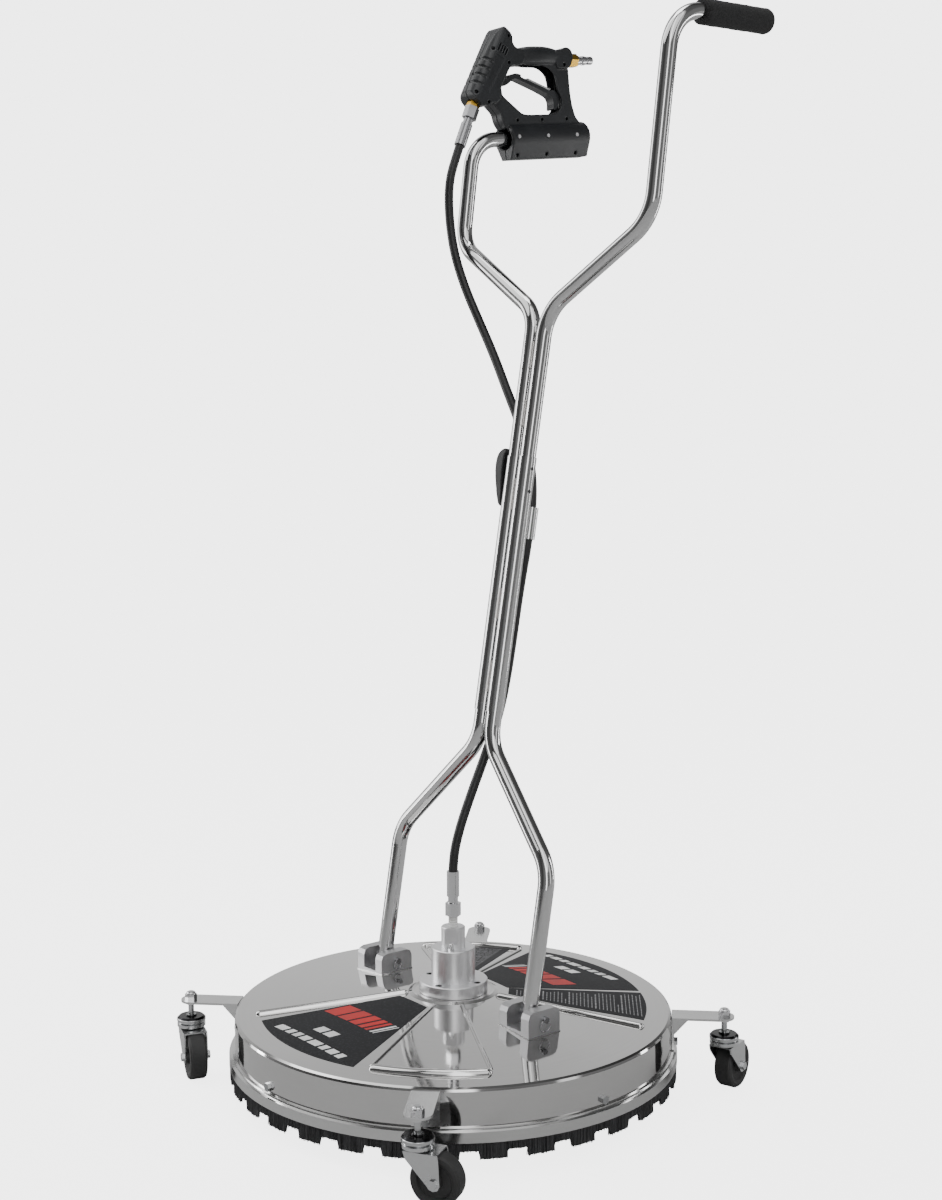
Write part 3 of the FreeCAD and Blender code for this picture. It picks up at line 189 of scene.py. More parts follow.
class Network:
    """Short calls that build a node network. Each returns an output socket, apart from node and feed."""

    def __init__(self, tree):
        self.tree = tree

    def node(self, kind, *links, **values):
        made = self.tree.nodes.new("ShaderNode" + kind)
        for key, value in values.items():
            setattr(made, key, value)
        for index, source in enumerate(links):
            self.feed(made.inputs[index], source)
        return made

    def feed(self, socket, source):
        """Gives a socket a number, a tuple, another node's output, or nothing."""
        if source is None:
            return
        if isinstance(source, (int, float, tuple)):
            socket.default_value = source
        else:
            self.tree.links.new(source, socket)

    def coords(self, kind="Object"):
        return self.node("TexCoord").outputs[kind]

    def camera_ray(self):
        return self.node("LightPath").outputs["Is Camera Ray"]

    def scaled(self, vector, scale):
        mapping = self.node("Mapping", vector)
        mapping.inputs["Scale"].default_value = scale
        return mapping.outputs[0]

    def math(self, kind, a, b=None, c=None):
        return self.node("Math", a, b, c, operation=kind).outputs[0]

    def split(self, vector):
        return self.node("SeparateXYZ", vector).outputs

    def join(self, x, y, z):
        return self.node("CombineXYZ", x, y, z).outputs[0]

    def radius(self, x, y):
        return self.math("SQRT", self.math("ADD", self.math("MULTIPLY", x, x), self.math("MULTIPLY", y, y)))

    def polar(self, ring, turn, up):
        """Object coordinates as (radius, angle, height), each times its scale."""
        x, y, z = self.split(self.coords())[:3]
        angle = self.math("ARCTAN2", y, x)
        return self.join(self.math("MULTIPLY", self.radius(x, y), ring), self.math("MULTIPLY", angle, turn),
                         self.math("MULTIPLY", z, up))

    def noise(self, vector, scale, detail=4.0, rough=0.5, warp=0.0):
        made = self.node("TexNoise", vector)
        made.inputs["Scale"].default_value = scale
        made.inputs["Detail"].default_value = detail
        made.inputs["Roughness"].default_value = rough
        made.inputs["Distortion"].default_value = warp
        return made.outputs[0]

    def cells(self, vector, scale):
        made = self.node("TexVoronoi", vector)
        made.inputs["Scale"].default_value = scale
        return made.outputs["Distance"]

    def wave(self, vector, scale, direction="X", warp=0.0):
        made = self.node("TexWave", vector, bands_direction=direction)
        made.inputs["Scale"].default_value = scale
        made.inputs["Distortion"].default_value = warp
        return made.outputs[1]

    def ramp(self, value, stops):
        """A colour ramp whose stops are (place, colour), or (place, number) for a grey."""
        made = self.node("ValToRGB", value)
        elements = made.color_ramp.elements
        while len(elements) > 1:
            elements.remove(elements[-1])
        for k, (place, tone) in enumerate(stops):
            element = elements[0] if k == 0 else elements.new(place)
            element.position = place
            colour = tone if isinstance(tone, tuple) else (tone, tone, tone)
            element.color = (*colour, 1.0)
        return made.outputs[0]

    def level(self, value, low, high, low_in=0.0, high_in=1.0):
        """A value mapped from (low_in, high_in) to (low, high) and held inside it."""
        made = self.node("MapRange", value, float(low_in), float(high_in), float(low), float(high))
        return made.outputs[0]

    def mix(self, factor, a, b):
        made = self.node("MixRGB", factor)
        for socket, value in ((made.inputs[1], a), (made.inputs[2], b)):
            self.feed(socket, (*value, 1.0) if isinstance(value, tuple) else value)
        return made.outputs[0]


class Shader(Network):
    """A Principled material."""

    def __init__(self, name, metal=0.0, rough=0.5, **sockets):
        self.material = bpy.data.materials.new(name)
        self.material.use_nodes = True
        super().__init__(self.material.node_tree)
        self.shader = self.tree.nodes["Principled BSDF"]
        self.normal = None
        self.set("Metallic", metal)
        self.set("Roughness", rough)
        self.set("Base Color", (0.5, 0.5, 0.5, 1.0))
        for key, value in sockets.items():
            self.set(key.replace("_", " "), value)

    def set(self, socket, value):
        self.shader.inputs[socket].default_value = value

    def edges(self, width):
        """1 near sharp outer edges, 0 elsewhere."""
        geometry = self.node("NewGeometry")
        bevel = self.node("Bevel", samples=4)
        bevel.inputs[0].default_value = width
        dot = self.node("VectorMath", bevel.outputs[0], geometry.outputs["Normal"], operation="DOT_PRODUCT")
        return self.level(dot.outputs["Value"], 1.0, 0.0, 0.75, 0.999)

    def colour(self, source):
        self.feed(self.shader.inputs["Base Color"], source)

    def rough(self, source):
        self.feed(self.shader.inputs["Roughness"], source)

    def bump(self, height, strength, distance):
        """Adds a bump on top of those made before."""
        made = self.node("Bump")
        made.inputs["Strength"].default_value = strength
        made.inputs["Distance"].default_value = distance
        self.feed(made.inputs["Height"], height)
        if self.normal is not None:
            self.feed(made.inputs["Normal"], self.normal)
        self.normal = made.outputs[0]
        self.feed(self.shader.inputs["Normal"], self.normal)


def metal(name, base, rough, streak=(300, 300, 300), depth=0.00001, shade=0.06, spread=0.08):
    """A metal with brush lines along the axis whose streak scale is smallest, and soft smudges."""
    paint = Shader(name, metal=1.0)
    coords = paint.coords()
    lines = paint.noise(paint.scaled(coords, streak), 1.0, detail=5, rough=0.65)
    smudge = paint.noise(coords, 14.0, detail=4, rough=0.6, warp=0.4)
    dark = tuple(c * (1 - shade) for c in base)
    bright = tuple(min(1.0, c * (1 + shade * 0.6)) for c in base)
    tone = paint.ramp(lines, [(0.25, dark), (0.75, bright)])
    paint.colour(paint.mix(paint.level(smudge, 0.0, 0.5, 0.45, 0.8), tone, tuple(c * 0.93 for c in base)))
    paint.rough(paint.math("ADD", paint.level(lines, rough - spread / 2, rough + spread / 2),
                           paint.level(smudge, 0.0, spread, 0.4, 0.8)))
    paint.bump(lines, 0.35, depth)
    return paint


def ring_metal(name, base, rough, ring, up, turn, spread=0.08):
    """A metal turned or brushed round the Z axis."""
    paint = Shader(name, metal=1.0)
    lines = paint.noise(paint.polar(ring, turn, up), 1.0, detail=4, rough=0.6)
    smudge = paint.noise(paint.coords(), 9.0, detail=5, rough=0.6, warp=0.6)
    dark = tuple(c * 0.94 for c in base)
    tone = paint.ramp(lines, [(0.3, dark), (0.7, base)])
    paint.colour(paint.mix(paint.level(smudge, 0.0, 0.4, 0.45, 0.75), tone, tuple(c * 0.92 for c in base)))
    paint.rough(paint.math("ADD", paint.level(lines, rough - spread / 2, rough + spread / 2),
                           paint.level(smudge, 0.0, spread, 0.4, 0.8)))
    paint.bump(lines, 0.25, 0.00001)
    return paint


def plastic(name, base, rough, grain=900.0, depth=0.00006, worn=(0.16, 0.16, 0.16)):
    """A moulded plastic with a fine grain and paler edges."""
    paint = Shader(name, rough=rough)
    coords = paint.coords()
    pits = paint.noise(coords, grain, detail=3, rough=0.6)
    cloud = paint.noise(coords, 22.0, detail=4)
    tone = paint.ramp(cloud, [(0.3, tuple(c * 0.8 for c in base)), (0.75, tuple(c * 1.25 for c in base))])
    paint.colour(paint.mix(paint.math("MULTIPLY", paint.edges(0.0012), 0.5), tone, worn))
    paint.rough(paint.math("ADD", paint.level(cloud, rough - 0.06, rough + 0.06),
                           paint.level(pits, -0.05, 0.05)))
    paint.bump(pits, 0.5, depth)
    return paint


# Base colours that two materials, or a material and its darker part, share.
STEM_ZINC = (0.50, 0.505, 0.51)
BOLT_ZINC = (0.36, 0.365, 0.37)
SEAL_BLACK = (0.015, 0.015, 0.016)
# Near black: painted shade on the bolts sunk in the swivel's flange and on the gun's deeply sunk screws,
# and plain near-black on the other dark parts.
BLACK_AND_HOLE_SHADE = (0.03, 0.03, 0.032)
# Heights over which the race's dust seal begins and ends, and radii over which the painted shade on the
# bolts sunk in the swivel's flange ends.
SEAL_FROM = (0.0793, 0.0797)
SEAL_TO = (0.0838, 0.0842)
BOLT_SHADE_TO = (0.050, 0.060)


def make_materials():
    """Every finish, under the short name that MATERIAL_OF uses."""
    made = {}
    made["deck"] = ring_metal("deck_steel", (0.58, 0.575, 0.57), 0.055, ring=900, up=2600, turn=3.0,
                              spread=0.04)
    made["band"] = ring_metal("band_steel", (0.60, 0.60, 0.595), 0.14, ring=2600, up=2600, turn=1.5)
    made["tube"] = metal("tube_steel", (0.62, 0.62, 0.62), 0.085, streak=(240, 240, 9), spread=0.04)
    made["sleeve"] = metal("sleeve_steel", (0.64, 0.64, 0.64), 0.12, streak=(320, 320, 12), spread=0.05)
    made["weld"] = metal("weld_steel", (0.62, 0.6, 0.58), 0.42, streak=(500, 500, 300), depth=0.00015)
    made["sheet"] = metal("sheet_steel", (0.62, 0.62, 0.62), 0.2, streak=(90, 90, 700))
    made["zinc"] = metal("zinc_plate", (0.58, 0.585, 0.59), 0.2, streak=(160, 160, 160), spread=0.12)
    made["bright"] = metal("bright_steel", (0.64, 0.64, 0.65), 0.14, streak=(400, 400, 400))
    made["turned"] = ring_metal("turned_aluminium", (0.80, 0.80, 0.81), 0.38, ring=3500, up=3500, turn=1.0)
    made["milled"] = metal("milled_aluminium", (0.50, 0.50, 0.51), 0.36, streak=(60, 700, 700))
    made["brass"] = metal("brass", (0.62, 0.37, 0.055), 0.27, streak=(500, 500, 500), shade=0.12)
    made["fitting"] = metal("fitting_zinc", (0.34, 0.34, 0.35), 0.28, streak=(300, 300, 300), spread=0.1)
    made["screw"] = metal("screw_zinc", (0.86, 0.86, 0.87), 0.3, streak=(600, 600, 600))
    made["stem"] = stem_shader()
    made["black"] = plastic("black_plastic", (0.013, 0.0145, 0.0165), 0.34, worn=(0.09, 0.095, 0.1))
    made["lever"] = plastic("lever_plastic", (0.007, 0.007, 0.0075), 0.5)
    made["latch"] = plastic("latch_plastic", (0.42, 0.42, 0.42), 0.45)
    made["rubber"] = plastic("wheel_rubber", (0.02, 0.02, 0.02), 0.62, grain=500.0, depth=0.00015,
                             worn=(0.09, 0.088, 0.085))
    made["foam"] = foam_shader()
    made["hose"] = hose_shader()
    made["bristle"] = bristle_shader()
    made["label"] = label_shader()
    made["tape"] = tape_shader()
    made["bolts"] = bolt_shader()
    made["pins"] = metal("pin_steel", (0.34, 0.34, 0.35), 0.22, streak=(400, 400, 400))
    # Near black plastic; on the gun's deeply sunk screws it is painted shade of their holes.
    made["dark"] = plastic("dark_steel_and_hole_shade", BLACK_AND_HOLE_SHADE, 0.35)
    return {key: paint.material for key, paint in made.items()}


def stem_shader():
    """A zinc stem and race, with the dark dust seal on the race's top."""
    paint = metal("stem_zinc", STEM_ZINC, 0.2, streak=(300, 300, 300), spread=0.1)
    z = paint.split(paint.coords())[2]
    seal = paint.math("MULTIPLY", paint.level(z, 0.0, 1.0, *SEAL_FROM), paint.level(z, 1.0, 0.0, *SEAL_TO))
    paint.colour(paint.mix(seal, STEM_ZINC, SEAL_BLACK))
    return paint


def bolt_shader():
    """Zinc bolts, with painted shade making them near black where they sit sunk in the swivel's flange."""
    paint = metal("bolt_zinc_and_painted_shade", BOLT_ZINC, 0.24, streak=(160, 160, 160), spread=0.12)
    x, y = paint.split(paint.coords())[:2]
    # Painted shade: the bolts turn near black inside the flange's recess, by their radius from the axis.
    painted_shade = paint.level(paint.radius(x, y), 1.0, 0.0, *BOLT_SHADE_TO)
    paint.colour(paint.mix(painted_shade, BOLT_ZINC, BLACK_AND_HOLE_SHADE))
    return paint


def foam_shader():
    """Black closed-cell foam."""
    paint = Shader("foam", rough=0.92)
    coords = paint.coords()
    pores = paint.cells(coords, 620.0)
    soft = paint.noise(coords, 60.0, detail=5)
    walls = paint.level(pores, 0.0, 1.0, 0.2, 0.7)
    paint.colour(paint.mix(walls, (0.008, 0.008, 0.008), (0.026, 0.026, 0.027)))
    paint.rough(paint.level(soft, 0.85, 0.97))
    paint.bump(pores, 0.6, 0.0004)
    paint.bump(soft, 0.35, 0.0012)
    return paint


def hose_shader():
    """Smooth black rubber with the faint print of the cloth it was cured in."""
    paint = Shader("hose_rubber", rough=0.42)
    along = paint.coords("UV")
    wrap = paint.wave(paint.scaled(along, (1.0, 0.35, 1.0)), 60.0, warp=0.6)
    weave = paint.noise(paint.scaled(along, (1500.0, 60.0, 1.0)), 1.0, detail=2)
    cloud = paint.noise(paint.coords(), 30.0, detail=4)
    paint.colour(paint.ramp(cloud, [(0.3, (0.007, 0.007, 0.0075)), (0.75, (0.015, 0.015, 0.016))]))
    paint.rough(paint.math("ADD", paint.level(cloud, 0.34, 0.52), paint.level(weave, -0.04, 0.04)))
    paint.bump(weave, 0.3, 0.00012)
    paint.bump(wrap, 0.12, 0.00025)
    return paint


def bristle_shader():
    """Black nylon, paler along some strands."""
    paint = Shader("bristles", rough=0.55)
    strands = paint.noise(paint.polar(60.0, 190.0, 20.0), 1.0, detail=3)
    paint.colour(paint.ramp(strands, [(0.3, (0.008, 0.008, 0.009)), (0.7, (0.045, 0.045, 0.048))]))
    paint.rough(paint.level(strands, 0.45, 0.65))
    paint.bump(strands, 0.8, 0.0008)
    return paint


def label_shader():
    """Charcoal film with a fine dotted print."""
    paint = Shader("label_film", rough=0.55, Specular_IOR_Level=0.12)
    coords = paint.coords()
    dots = paint.cells(paint.scaled(coords, (1.0, 1.0, 0.05)), 260.0)
    cloud = paint.noise(coords, 12.0, detail=4)
    tone = paint.mix(paint.level(dots, 1.0, 0.0, 0.25, 0.4), (0.012, 0.0125, 0.014), (0.024, 0.025, 0.028))
    paint.colour(paint.mix(paint.level(cloud, 0.0, 0.3, 0.4, 0.8), tone, (0.03, 0.03, 0.034)))
    paint.rough(paint.level(cloud, 0.45, 0.6))
    paint.bump(cloud, 0.1, 0.0003)
    return paint


def tape_shader():
    """White sealing tape wound round a thread."""
    paint = Shader("thread_tape", rough=0.6)
    coords = paint.coords()
    turns = paint.wave(paint.scaled(coords, (0.05, 0.05, 1.0)), 90.0, direction="Z", warp=1.2)
    paint.colour(paint.ramp(turns, [(0.1, (0.62, 0.62, 0.6)), (0.5, (0.86, 0.86, 0.85))]))
    paint.rough(paint.level(turns, 0.5, 0.7))
    paint.bump(turns, 0.8, 0.0005)
    return paint


MATERIAL_OF = {
    "deck_shell": "deck", "brush_channel": "band", "brush_bristles": "bristle", "deck_bolts": "bolts",
    "deck_labels": "label", "caster_brackets": "sheet", "caster_stems": "stem", "caster_nuts": "bright",
    "swivel_body": "turned", "swivel_cap": "turned", "clamp_stud": "zinc", "grease_nipple": "bright",
    "swivel_bearings": "bright", "shaft_seal": "rubber", "retaining_ring": "zinc", "inlet_nipple": "tape",
    "hose_end_lower": "bright", "clevis_blocks": "milled", "clevis_seats": "sheet", "handle_pins": "pins",
    "swivel_shaft": "bright", "rotor_hub": "turned", "spray_arms": "tube", "spray_nozzles": "brass",
    "handle_leg_left": "tube", "handle_leg_right": "tube", "handle_sleeves": "sleeve",
    "sleeve_welds": "weld", "hose_guide": "sleeve", "sleeve_screws": "dark", "clamp_lever": "lever",
    "gun_arm": "tube", "grip_arm": "tube", "arm_welds": "weld", "foam_grip": "foam",
    "gun_shell_left": "black", "gun_shell_right": "black", "trigger_pin": "zinc", "valve_body": "dark",
    # The gun's screws take the painted shade of their deep holes.
    "brass_fittings": "brass", "inlet_plug": "bright", "gun_screws": "dark", "clamp_screws": "screw",
    "hose_end_upper": "fitting", "hose_upper": "hose", "hose_lower": "hose", "gun_trigger": "black",
    "trigger_latch": "latch",
}
for corner in CASTERS:
    MATERIAL_OF["caster_fork_" + corner] = "zinc"
    MATERIAL_OF["caster_wheel_" + corner] = "rubber"
    MATERIAL_OF["caster_axle_" + corner] = "zinc"


# ---------------------------------------------------------------- mesh helpers

def new_mesh(name, points, faces):
    """A mesh object linked into the scene."""
    data = bpy.data.meshes.new(name)
    data.from_pydata(points, [], faces)
    data.update()
    made = bpy.data.objects.new(name, data)
    bpy.context.scene.collection.objects.link(made)
    return made


def smooth(piece, degrees):
    """Smooth shading that breaks at edges sharper than an angle."""
    piece.data.shade_smooth()
    piece.data.set_sharp_from_angle(angle=math.radians(degrees))


def paint_nodes(materials):
    """Gives every carried-over CAD node its finish."""
    for name, node in NODES.items():
        node.data.materials.clear()
        node.data.materials.append(materials[MATERIAL_OF[name]])


def ring_points(place, side, other, radius, sides):
    """Points evenly round a circle that two unit vectors span."""
    turns = [2 * math.pi * j / sides for j in range(sides)]
    return [place + (side * math.cos(turn) + other * math.sin(turn)) * radius for turn in turns]


def tube_faces(rings, sides):
    """The faces that join rings of points, with a cap on each end."""
    faces = []
    for k in range(rings - 1):
        for j in range(sides):
            n = (j + 1) % sides
            faces.append((k * sides + j, k * sides + n, (k + 1) * sides + n, (k + 1) * sides + j))
    faces.append(tuple(reversed(range(sides))))
    faces.append(tuple(range((rings - 1) * sides, rings * sides)))
    return faces


def read_spline(name, points):
    """The points along a smooth curve whose control points are the route's."""
    curve = bpy.data.curves.new(name, "CURVE")
    curve.dimensions = "3D"
    curve.resolution_u = 14
    spline = curve.splines.new("NURBS")
    spline.points.add(len(points) - 1)
    for point, place in zip(spline.points, points):
        point.co = (*place, 1.0)
    spline.order_u = 3
    spline.use_endpoint_u = True
    holder = bpy.data.objects.new(name, curve)
    bpy.context.scene.collection.objects.link(holder)
    data = bpy.data.meshes.new_from_object(holder)
    path = [v.co.copy() for v in data.vertices]
    bpy.data.objects.remove(holder)
    bpy.data.curves.remove(curve)
    bpy.data.meshes.remove(data)
    return path


def tube_along(name, path, radius, sides=28):
    """A closed round tube that follows a path, with UVs in metres along it, and its length."""
    tangents = []
    for k in range(len(path)):
        tangents.append((path[min(k + 1, len(path) - 1)] - path[max(k - 1, 0)]).normalized())
    side = tangents[0].orthogonal().normalized()
    points = []
    reach = [0.0]
    for k, (place, along) in enumerate(zip(path, tangents)):
        if k:
            side = (side - along * side.dot(along)).normalized()
            reach.append(reach[-1] + (place - path[k - 1]).length)
        points += ring_points(place, side, along.cross(side), radius, sides)
    tube = new_mesh(name, points, tube_faces(len(path), sides))
    layer = tube.data.uv_layers.new(name="along")
    for polygon in tube.data.polygons:
        for loop in polygon.loop_indices:
            vertex = tube.data.loops[loop].vertex_index
            turn = (vertex % sides) / sides
            if turn == 0 and polygon.index % sides == sides - 1:
                turn = 1.0
            layer.data[loop].uv = (reach[vertex // sides], turn)
    smooth(tube, 50)
    return tube, reach[-1]


def add_hose(materials, node, route):
    """One part of the hose, bent between two bodies."""
    name = node + "_tube"
    path = read_spline(name + "_line", route)
    tube, length = tube_along(name, path, HOSE_D / 2)
    tube.data.materials.append(materials["hose"])
    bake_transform(tube)
    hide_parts(node)


def add_hoses(materials):
    add_hose(materials, "hose_upper", HOSE_UPPER)
    add_hose(materials, "hose_lower", HOSE_LOWER)


# ---------------------------------------------------------------- printed marks on the labels

# The labels' top face on the crown: its radius and height at the rim, and how it rises inward.
CROWN_R = 0.300
CROWN_RIM_Z = 0.1089
CROWN_SLOPE = 0.09
PRINT_LIFT = 0.00006
BAR_CELLS = (8, 3)

# Marks on the two wide labels, drawn on the one towards -Y. The other has them half a turn round.
FLASH_Y, FLASH_HEIGHT, FLASH_SLANT = -0.152, 0.034, 0.35
FLASH_X, FLASH_GAP = -0.062, 0.0045
FLASH_WIDTHS = (0.027, 0.021, 0.016, 0.010, 0.006)
TAIL_BARS = ((0.0435, 0.004), (0.0495, 0.002))
BLOCKS = (-0.016, 0.006)
BLOCK_Y, BLOCK_SIZE = -0.208, (0.017, 0.015)
WORD_X, WORD_Y, WORD_HEIGHT, WORD_GAP = -0.074, -0.238, 0.012, 0.005
WORD_WIDTHS = (0.020, 0.011, 0.011, 0.015, 0.020, 0.011, 0.015, 0.011)
WORD_SLANT = 0.25

# Rows of fine print on the two narrow labels.
ROWS = 34
PARAGRAPH = 7
DASH = (0.003, 0.011)
DASH_GAP = 0.0018
SHORTEST_DASH = 0.004
ROW_MARGIN = 0.007
HEADING_HEIGHT, LINE_HEIGHT = 0.0019, 0.0011
FINE_SLANT = 0.1


def crown_z(x, y):
    """Height of the print on the crown."""
    return CROWN_RIM_Z + (CROWN_R - math.hypot(x, y)) * CROWN_SLOPE + PRINT_LIFT


def slanted_bar(points, faces, place, size, turn, slant):
    """A sheared bar laid on the crown, turned about the deck's axis."""
    base = len(points)
    across, up = BAR_CELLS
    for j in range(up + 1):
        for i in range(across + 1):
            dy = size[1] * (j / up - 0.5)
            x = place[0] + size[0] * (i / across - 0.5) + dy * slant
            y = place[1] + dy
            px = x * math.cos(turn) - y * math.sin(turn)
            py = x * math.sin(turn) + y * math.cos(turn)
            points.append((px, py, crown_z(px, py)))
    for j in range(up):
        for i in range(across):
            a = base + j * (across + 1) + i
            faces.append((a, a + 1, a + across + 2, a + across + 1))


def print_marks(name, bars, turn, material):
    """One thin piece for all the bars of a colour on one label, each bar given as (place, size, slant)."""
    points, faces = [], []
    for place, size, slant in bars:
        slanted_bar(points, faces, place, size, turn, slant)
    piece = new_mesh(name, points, faces)
    piece.data.materials.append(material)
    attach(piece, "deck")


def bar_row(x, y, widths, height, gap, slant):
    """Bars side by side from x onward, all of one height."""
    bars = []
    for width in widths:
        bars.append(((x + width / 2, y), (width, height), slant))
        x += width + gap
    return bars


def flash_bars():
    """A red flash of slanted blocks."""
    return bar_row(FLASH_X, FLASH_Y, FLASH_WIDTHS, FLASH_HEIGHT, FLASH_GAP, FLASH_SLANT)


def white_bars():
    """The flash's thin white tail, and plain white blocks where a label's words would be."""
    bars = [((x, FLASH_Y), (width, FLASH_HEIGHT), FLASH_SLANT) for x, width in TAIL_BARS]
    bars += [((x, BLOCK_Y), BLOCK_SIZE, WORD_SLANT) for x in BLOCKS]
    return bars + bar_row(WORD_X, WORD_Y, WORD_WIDTHS, WORD_HEIGHT, WORD_GAP, WORD_SLANT)


def fine_rows(half_angle, inner, outer):
    """Rows of short dashes across a narrow label that lies towards -Y."""
    bars = []
    for row in range(ROWS):
        r = inner + (outer - inner) * row / (ROWS - 1)
        reach = r * math.tan(math.radians(half_angle)) - ROW_MARGIN
        height = HEADING_HEIGHT if row % PARAGRAPH == 0 else LINE_HEIGHT
        x = -reach
        end = reach if row % PARAGRAPH != PARAGRAPH - 1 else reach * random.uniform(-0.2, 0.6)
        while x < end - SHORTEST_DASH:
            length = min(random.uniform(*DASH), reach - x)
            bars.append(((x + length / 2, -r), (length, height), FINE_SLANT))
            x += length + DASH_GAP
    return bars


def ink(name, base, worn):
    return plastic(name, base, 0.5, grain=500, depth=0.00001, worn=worn).material


def add_label_marks():
    red = ink("red_print", (0.46, 0.004, 0.003), (0.5, 0.01, 0.01))
    white = ink("white_print", (0.72, 0.72, 0.72), (0.8, 0.8, 0.8))
    grey = ink("grey_print", (0.26, 0.26, 0.27), (0.3, 0.3, 0.3))
    for side, turn in (("front", 0.0), ("rear", math.pi)):
        print_marks("label_flash_" + side, flash_bars(), turn, red)
        print_marks("label_blocks_" + side, white_bars(), turn, white)
    print_marks("label_rows_left", fine_rows(11.0, 0.088, 0.258), math.radians(137.5), grey)
    print_marks("label_rows_right", fine_rows(12.5, 0.088, 0.243), math.radians(225), grey)


# ---------------------------------------------------------------- brush skirt

NOTCHES = 32
NOTCH_PHASE = 302.5
NOTCH_HALF = 2.45
# Heights of the brush: its root, a strand's knee, the tips, and the tips over a notch.
BRUSH_TOP = 0.0500
KNEE_Z = 0.034
TIP_Z = 0.0202
NOTCH_Z = 0.0305
# The dense root's two radii and how far it stays short of the tips. Rows of strands are (radius, count).
CORE_IN, CORE_OUT = 0.3028, 0.3063
CORE_SHORT = 0.0012
CORE_STEPS = 720
STRAND_ROWS = ((0.3030, 1250), (0.3045, 1100), (0.3061, 1300))


def brush_bottom(degrees):
    """Height of the bristles' tips at an angle round the deck."""
    pitch = 360.0 / NOTCHES
    offset = (degrees - NOTCH_PHASE + pitch / 2) % pitch - pitch / 2
    return NOTCH_Z if abs(offset) < NOTCH_HALF else TIP_Z


def bristle_piece(name, points, faces, materials):
    piece = new_mesh(name, points, faces)
    piece.data.materials.append(materials["bristle"])
    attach(piece, "deck")
    return piece


def add_brush_core(materials):
    """The dense root of the brush, cut up over each notch, behind the loose strands."""
    points, faces = [], []
    for k in range(CORE_STEPS):
        angle = 2 * math.pi * k / CORE_STEPS
        low = brush_bottom(math.degrees(angle)) + CORE_SHORT + random.uniform(0.0, 0.0008)
        for radius, z in ((CORE_IN, BRUSH_TOP), (CORE_IN, low), (CORE_OUT, low), (CORE_OUT, BRUSH_TOP)):
            points.append((math.cos(angle) * radius, math.sin(angle) * radius, z))
    for k in range(CORE_STEPS):
        a = 4 * k
        b = 4 * ((k + 1) % CORE_STEPS)
        for j in range(4):
            n = (j + 1) % 4
            faces.append((a + j, b + j, b + n, a + n))
    bristle_piece("brush_core", points, faces, materials)


def add_strand(points, faces, radius, degrees):
    """A closed three-sided strand that bends at its knee and thins to its tip."""
    low = brush_bottom(degrees) + random.uniform(0.0, 0.0022)
    angle = math.radians(degrees)
    fan = random.gauss(0, 0.0011)
    out = random.uniform(-0.0006, 0.0008)
    thick = random.uniform(0.0006, 0.00085)
    base = len(points)
    stations = ((BRUSH_TOP, 0.0, 0.0, 1.0), (KNEE_Z, fan * 0.3, out, 1.0), (low, fan, out, 0.8))
    for z, shift, splay, grow in stations:
        turn = angle + shift / radius
        reach = radius + splay
        centre = Vector((math.cos(turn) * reach, math.sin(turn) * reach, z))
        for j in range(3):
            spin = angle + 2 * math.pi * j / 3
            points.append(centre + Vector((math.cos(spin), math.sin(spin), 0)) * thick * grow)
    for level in (base, base + 3):
        for j in range(3):
            n = (j + 1) % 3
            faces.append((level + j, level + n, level + 3 + n, level + 3 + j))
    faces.append((base + 2, base + 1, base))
    faces.append((base + 6, base + 7, base + 8))


def add_brush(materials):
    """Thousands of separate strands in rows, round the dense root."""
    points, faces = [], []
    for radius, count in STRAND_ROWS:
        for k in range(count):
            add_strand(points, faces, radius, 360.0 * (k + random.uniform(-0.35, 0.35)) / count)
    brush = bristle_piece("brush_strands", points, faces, materials)
    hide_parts("brush_bristles")


# ---------------------------------------------------------------- foam grip

GRIP_LENGTH = 0.132
GRIP_R = 0.0170
GRIP_RISE = math.radians(2.5)
GRIP_SIDES = 56
GRIP_STATIONS = 20
BORE_R = 0.0113
CAP_R = 0.004


def grip_profile():
    """(Distance from the open end, radius): a soft lip, a slightly uneven middle and a domed far end."""
    profile = [(0.0, BORE_R), (0.0, GRIP_R - 0.0030), (0.0006, GRIP_R - 0.0012), (0.0022, GRIP_R)]
    for k in range(1, GRIP_STATIONS):
        at = GRIP_LENGTH * k / GRIP_STATIONS
        profile.append((at, GRIP_R + 0.00018 * math.sin(at * 310) - 0.00012 * math.cos(at * 125)))
    return profile + [(GRIP_LENGTH - 0.006, GRIP_R), (GRIP_LENGTH - 0.0028, GRIP_R - 0.0010),
                      (GRIP_LENGTH - 0.0008, GRIP_R - 0.0034), (GRIP_LENGTH, GRIP_R - 0.0065),
                      (GRIP_LENGTH, CAP_R)]


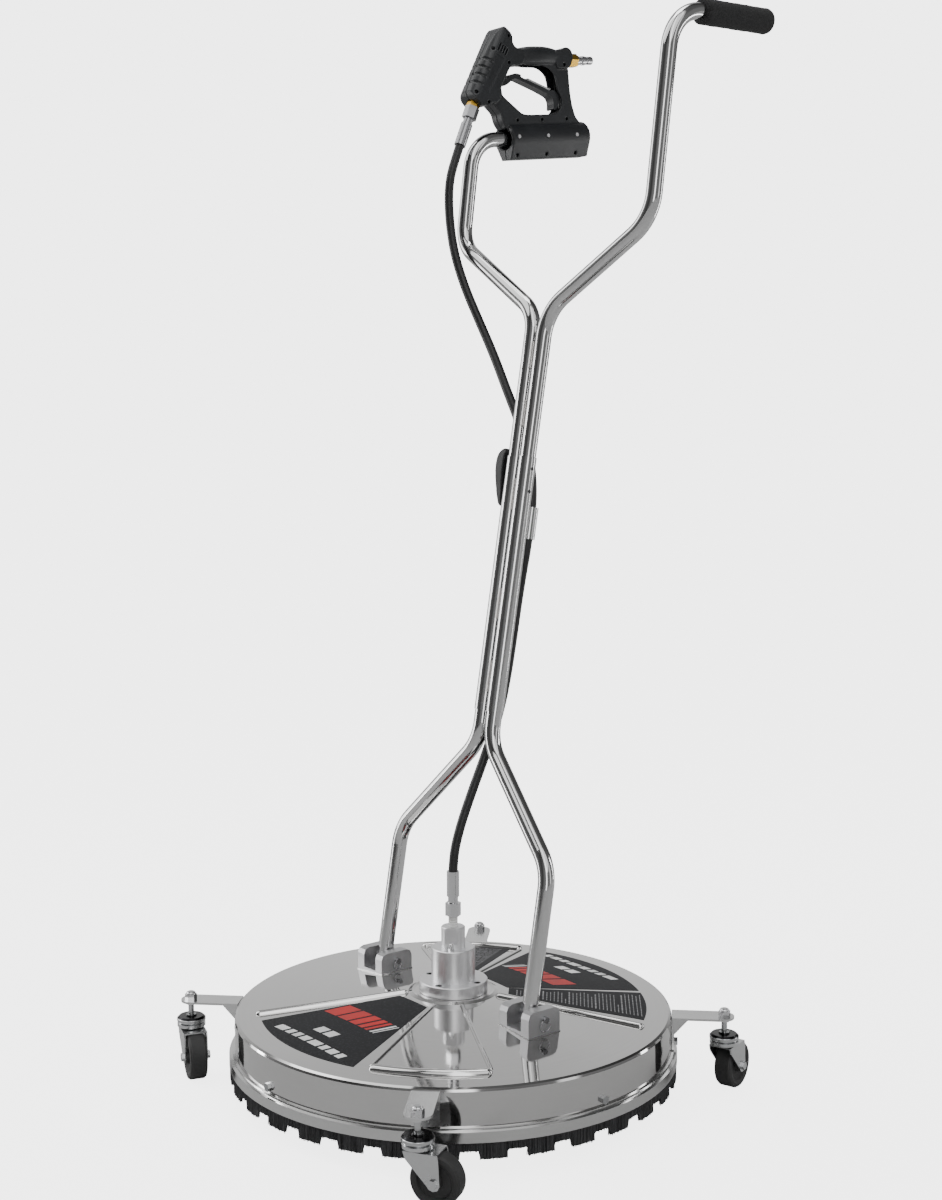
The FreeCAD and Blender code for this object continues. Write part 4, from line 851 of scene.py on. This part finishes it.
def add_foam_grip(materials):
    """A padded sleeve turned along the grip arm's end."""
    low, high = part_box("foam_grip")
    axis = Vector((0, math.cos(GRIP_RISE), math.sin(GRIP_RISE)))
    start = (low + high) / 2 - axis * GRIP_LENGTH / 2
    axis.normalize()
    side = axis.orthogonal().normalized()
    points = []
    profile = grip_profile()
    for distance, radius in profile:
        points += ring_points(start + axis * distance, side, axis.cross(side), radius, GRIP_SIDES)
    grip = new_mesh("foam_sleeve", points, tube_faces(len(profile), GRIP_SIDES))
    grip.data.materials.append(materials["foam"])
    smooth(grip, 50)
    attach(grip, "upper_handle")
    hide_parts("foam_grip")


# ---------------------------------------------------------------- moulded gun and clamp lever

def soften_moulding(name, node, body, material, voxel=0.0008, rounds=6):
    """A copy of a CAD node with every edge rounded as a moulding's are."""
    piece = bpy.data.objects.new(name, NODES[node].data.copy())
    bpy.context.scene.collection.objects.link(piece)
    piece.data.materials.clear()
    remesh = piece.modifiers.new("remesh", "REMESH")
    remesh.mode = "VOXEL"
    remesh.voxel_size = voxel
    relax = piece.modifiers.new("relax", "SMOOTH")
    relax.factor = 0.5
    relax.iterations = rounds
    graph = bpy.context.evaluated_depsgraph_get()
    data = bpy.data.meshes.new_from_object(piece.evaluated_get(graph))
    old = piece.data
    piece.modifiers.clear()
    piece.data = data
    bpy.data.meshes.remove(old)
    data.materials.clear()
    data.materials.append(material)
    data.shade_smooth()
    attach(piece, body)
    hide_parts(node)


def add_mouldings(materials):
    soften_moulding("gun_half_left", "gun_shell_left", "upper_handle", materials["black"])
    soften_moulding("gun_half_right", "gun_shell_right", "upper_handle", materials["black"])
    soften_moulding("clamp_handle", "clamp_lever", "clamp_lever", materials["lever"], 0.0007, 5)


make_camera()
MATERIALS = make_materials()
make_studio()
paint_nodes(MATERIALS)
add_hoses(MATERIALS)
add_label_marks()
add_brush_core(MATERIALS)
add_brush(MATERIALS)
add_foam_grip(MATERIALS)
add_mouldings(MATERIALS)

for node in NODES.values():
    smooth(node, 30)
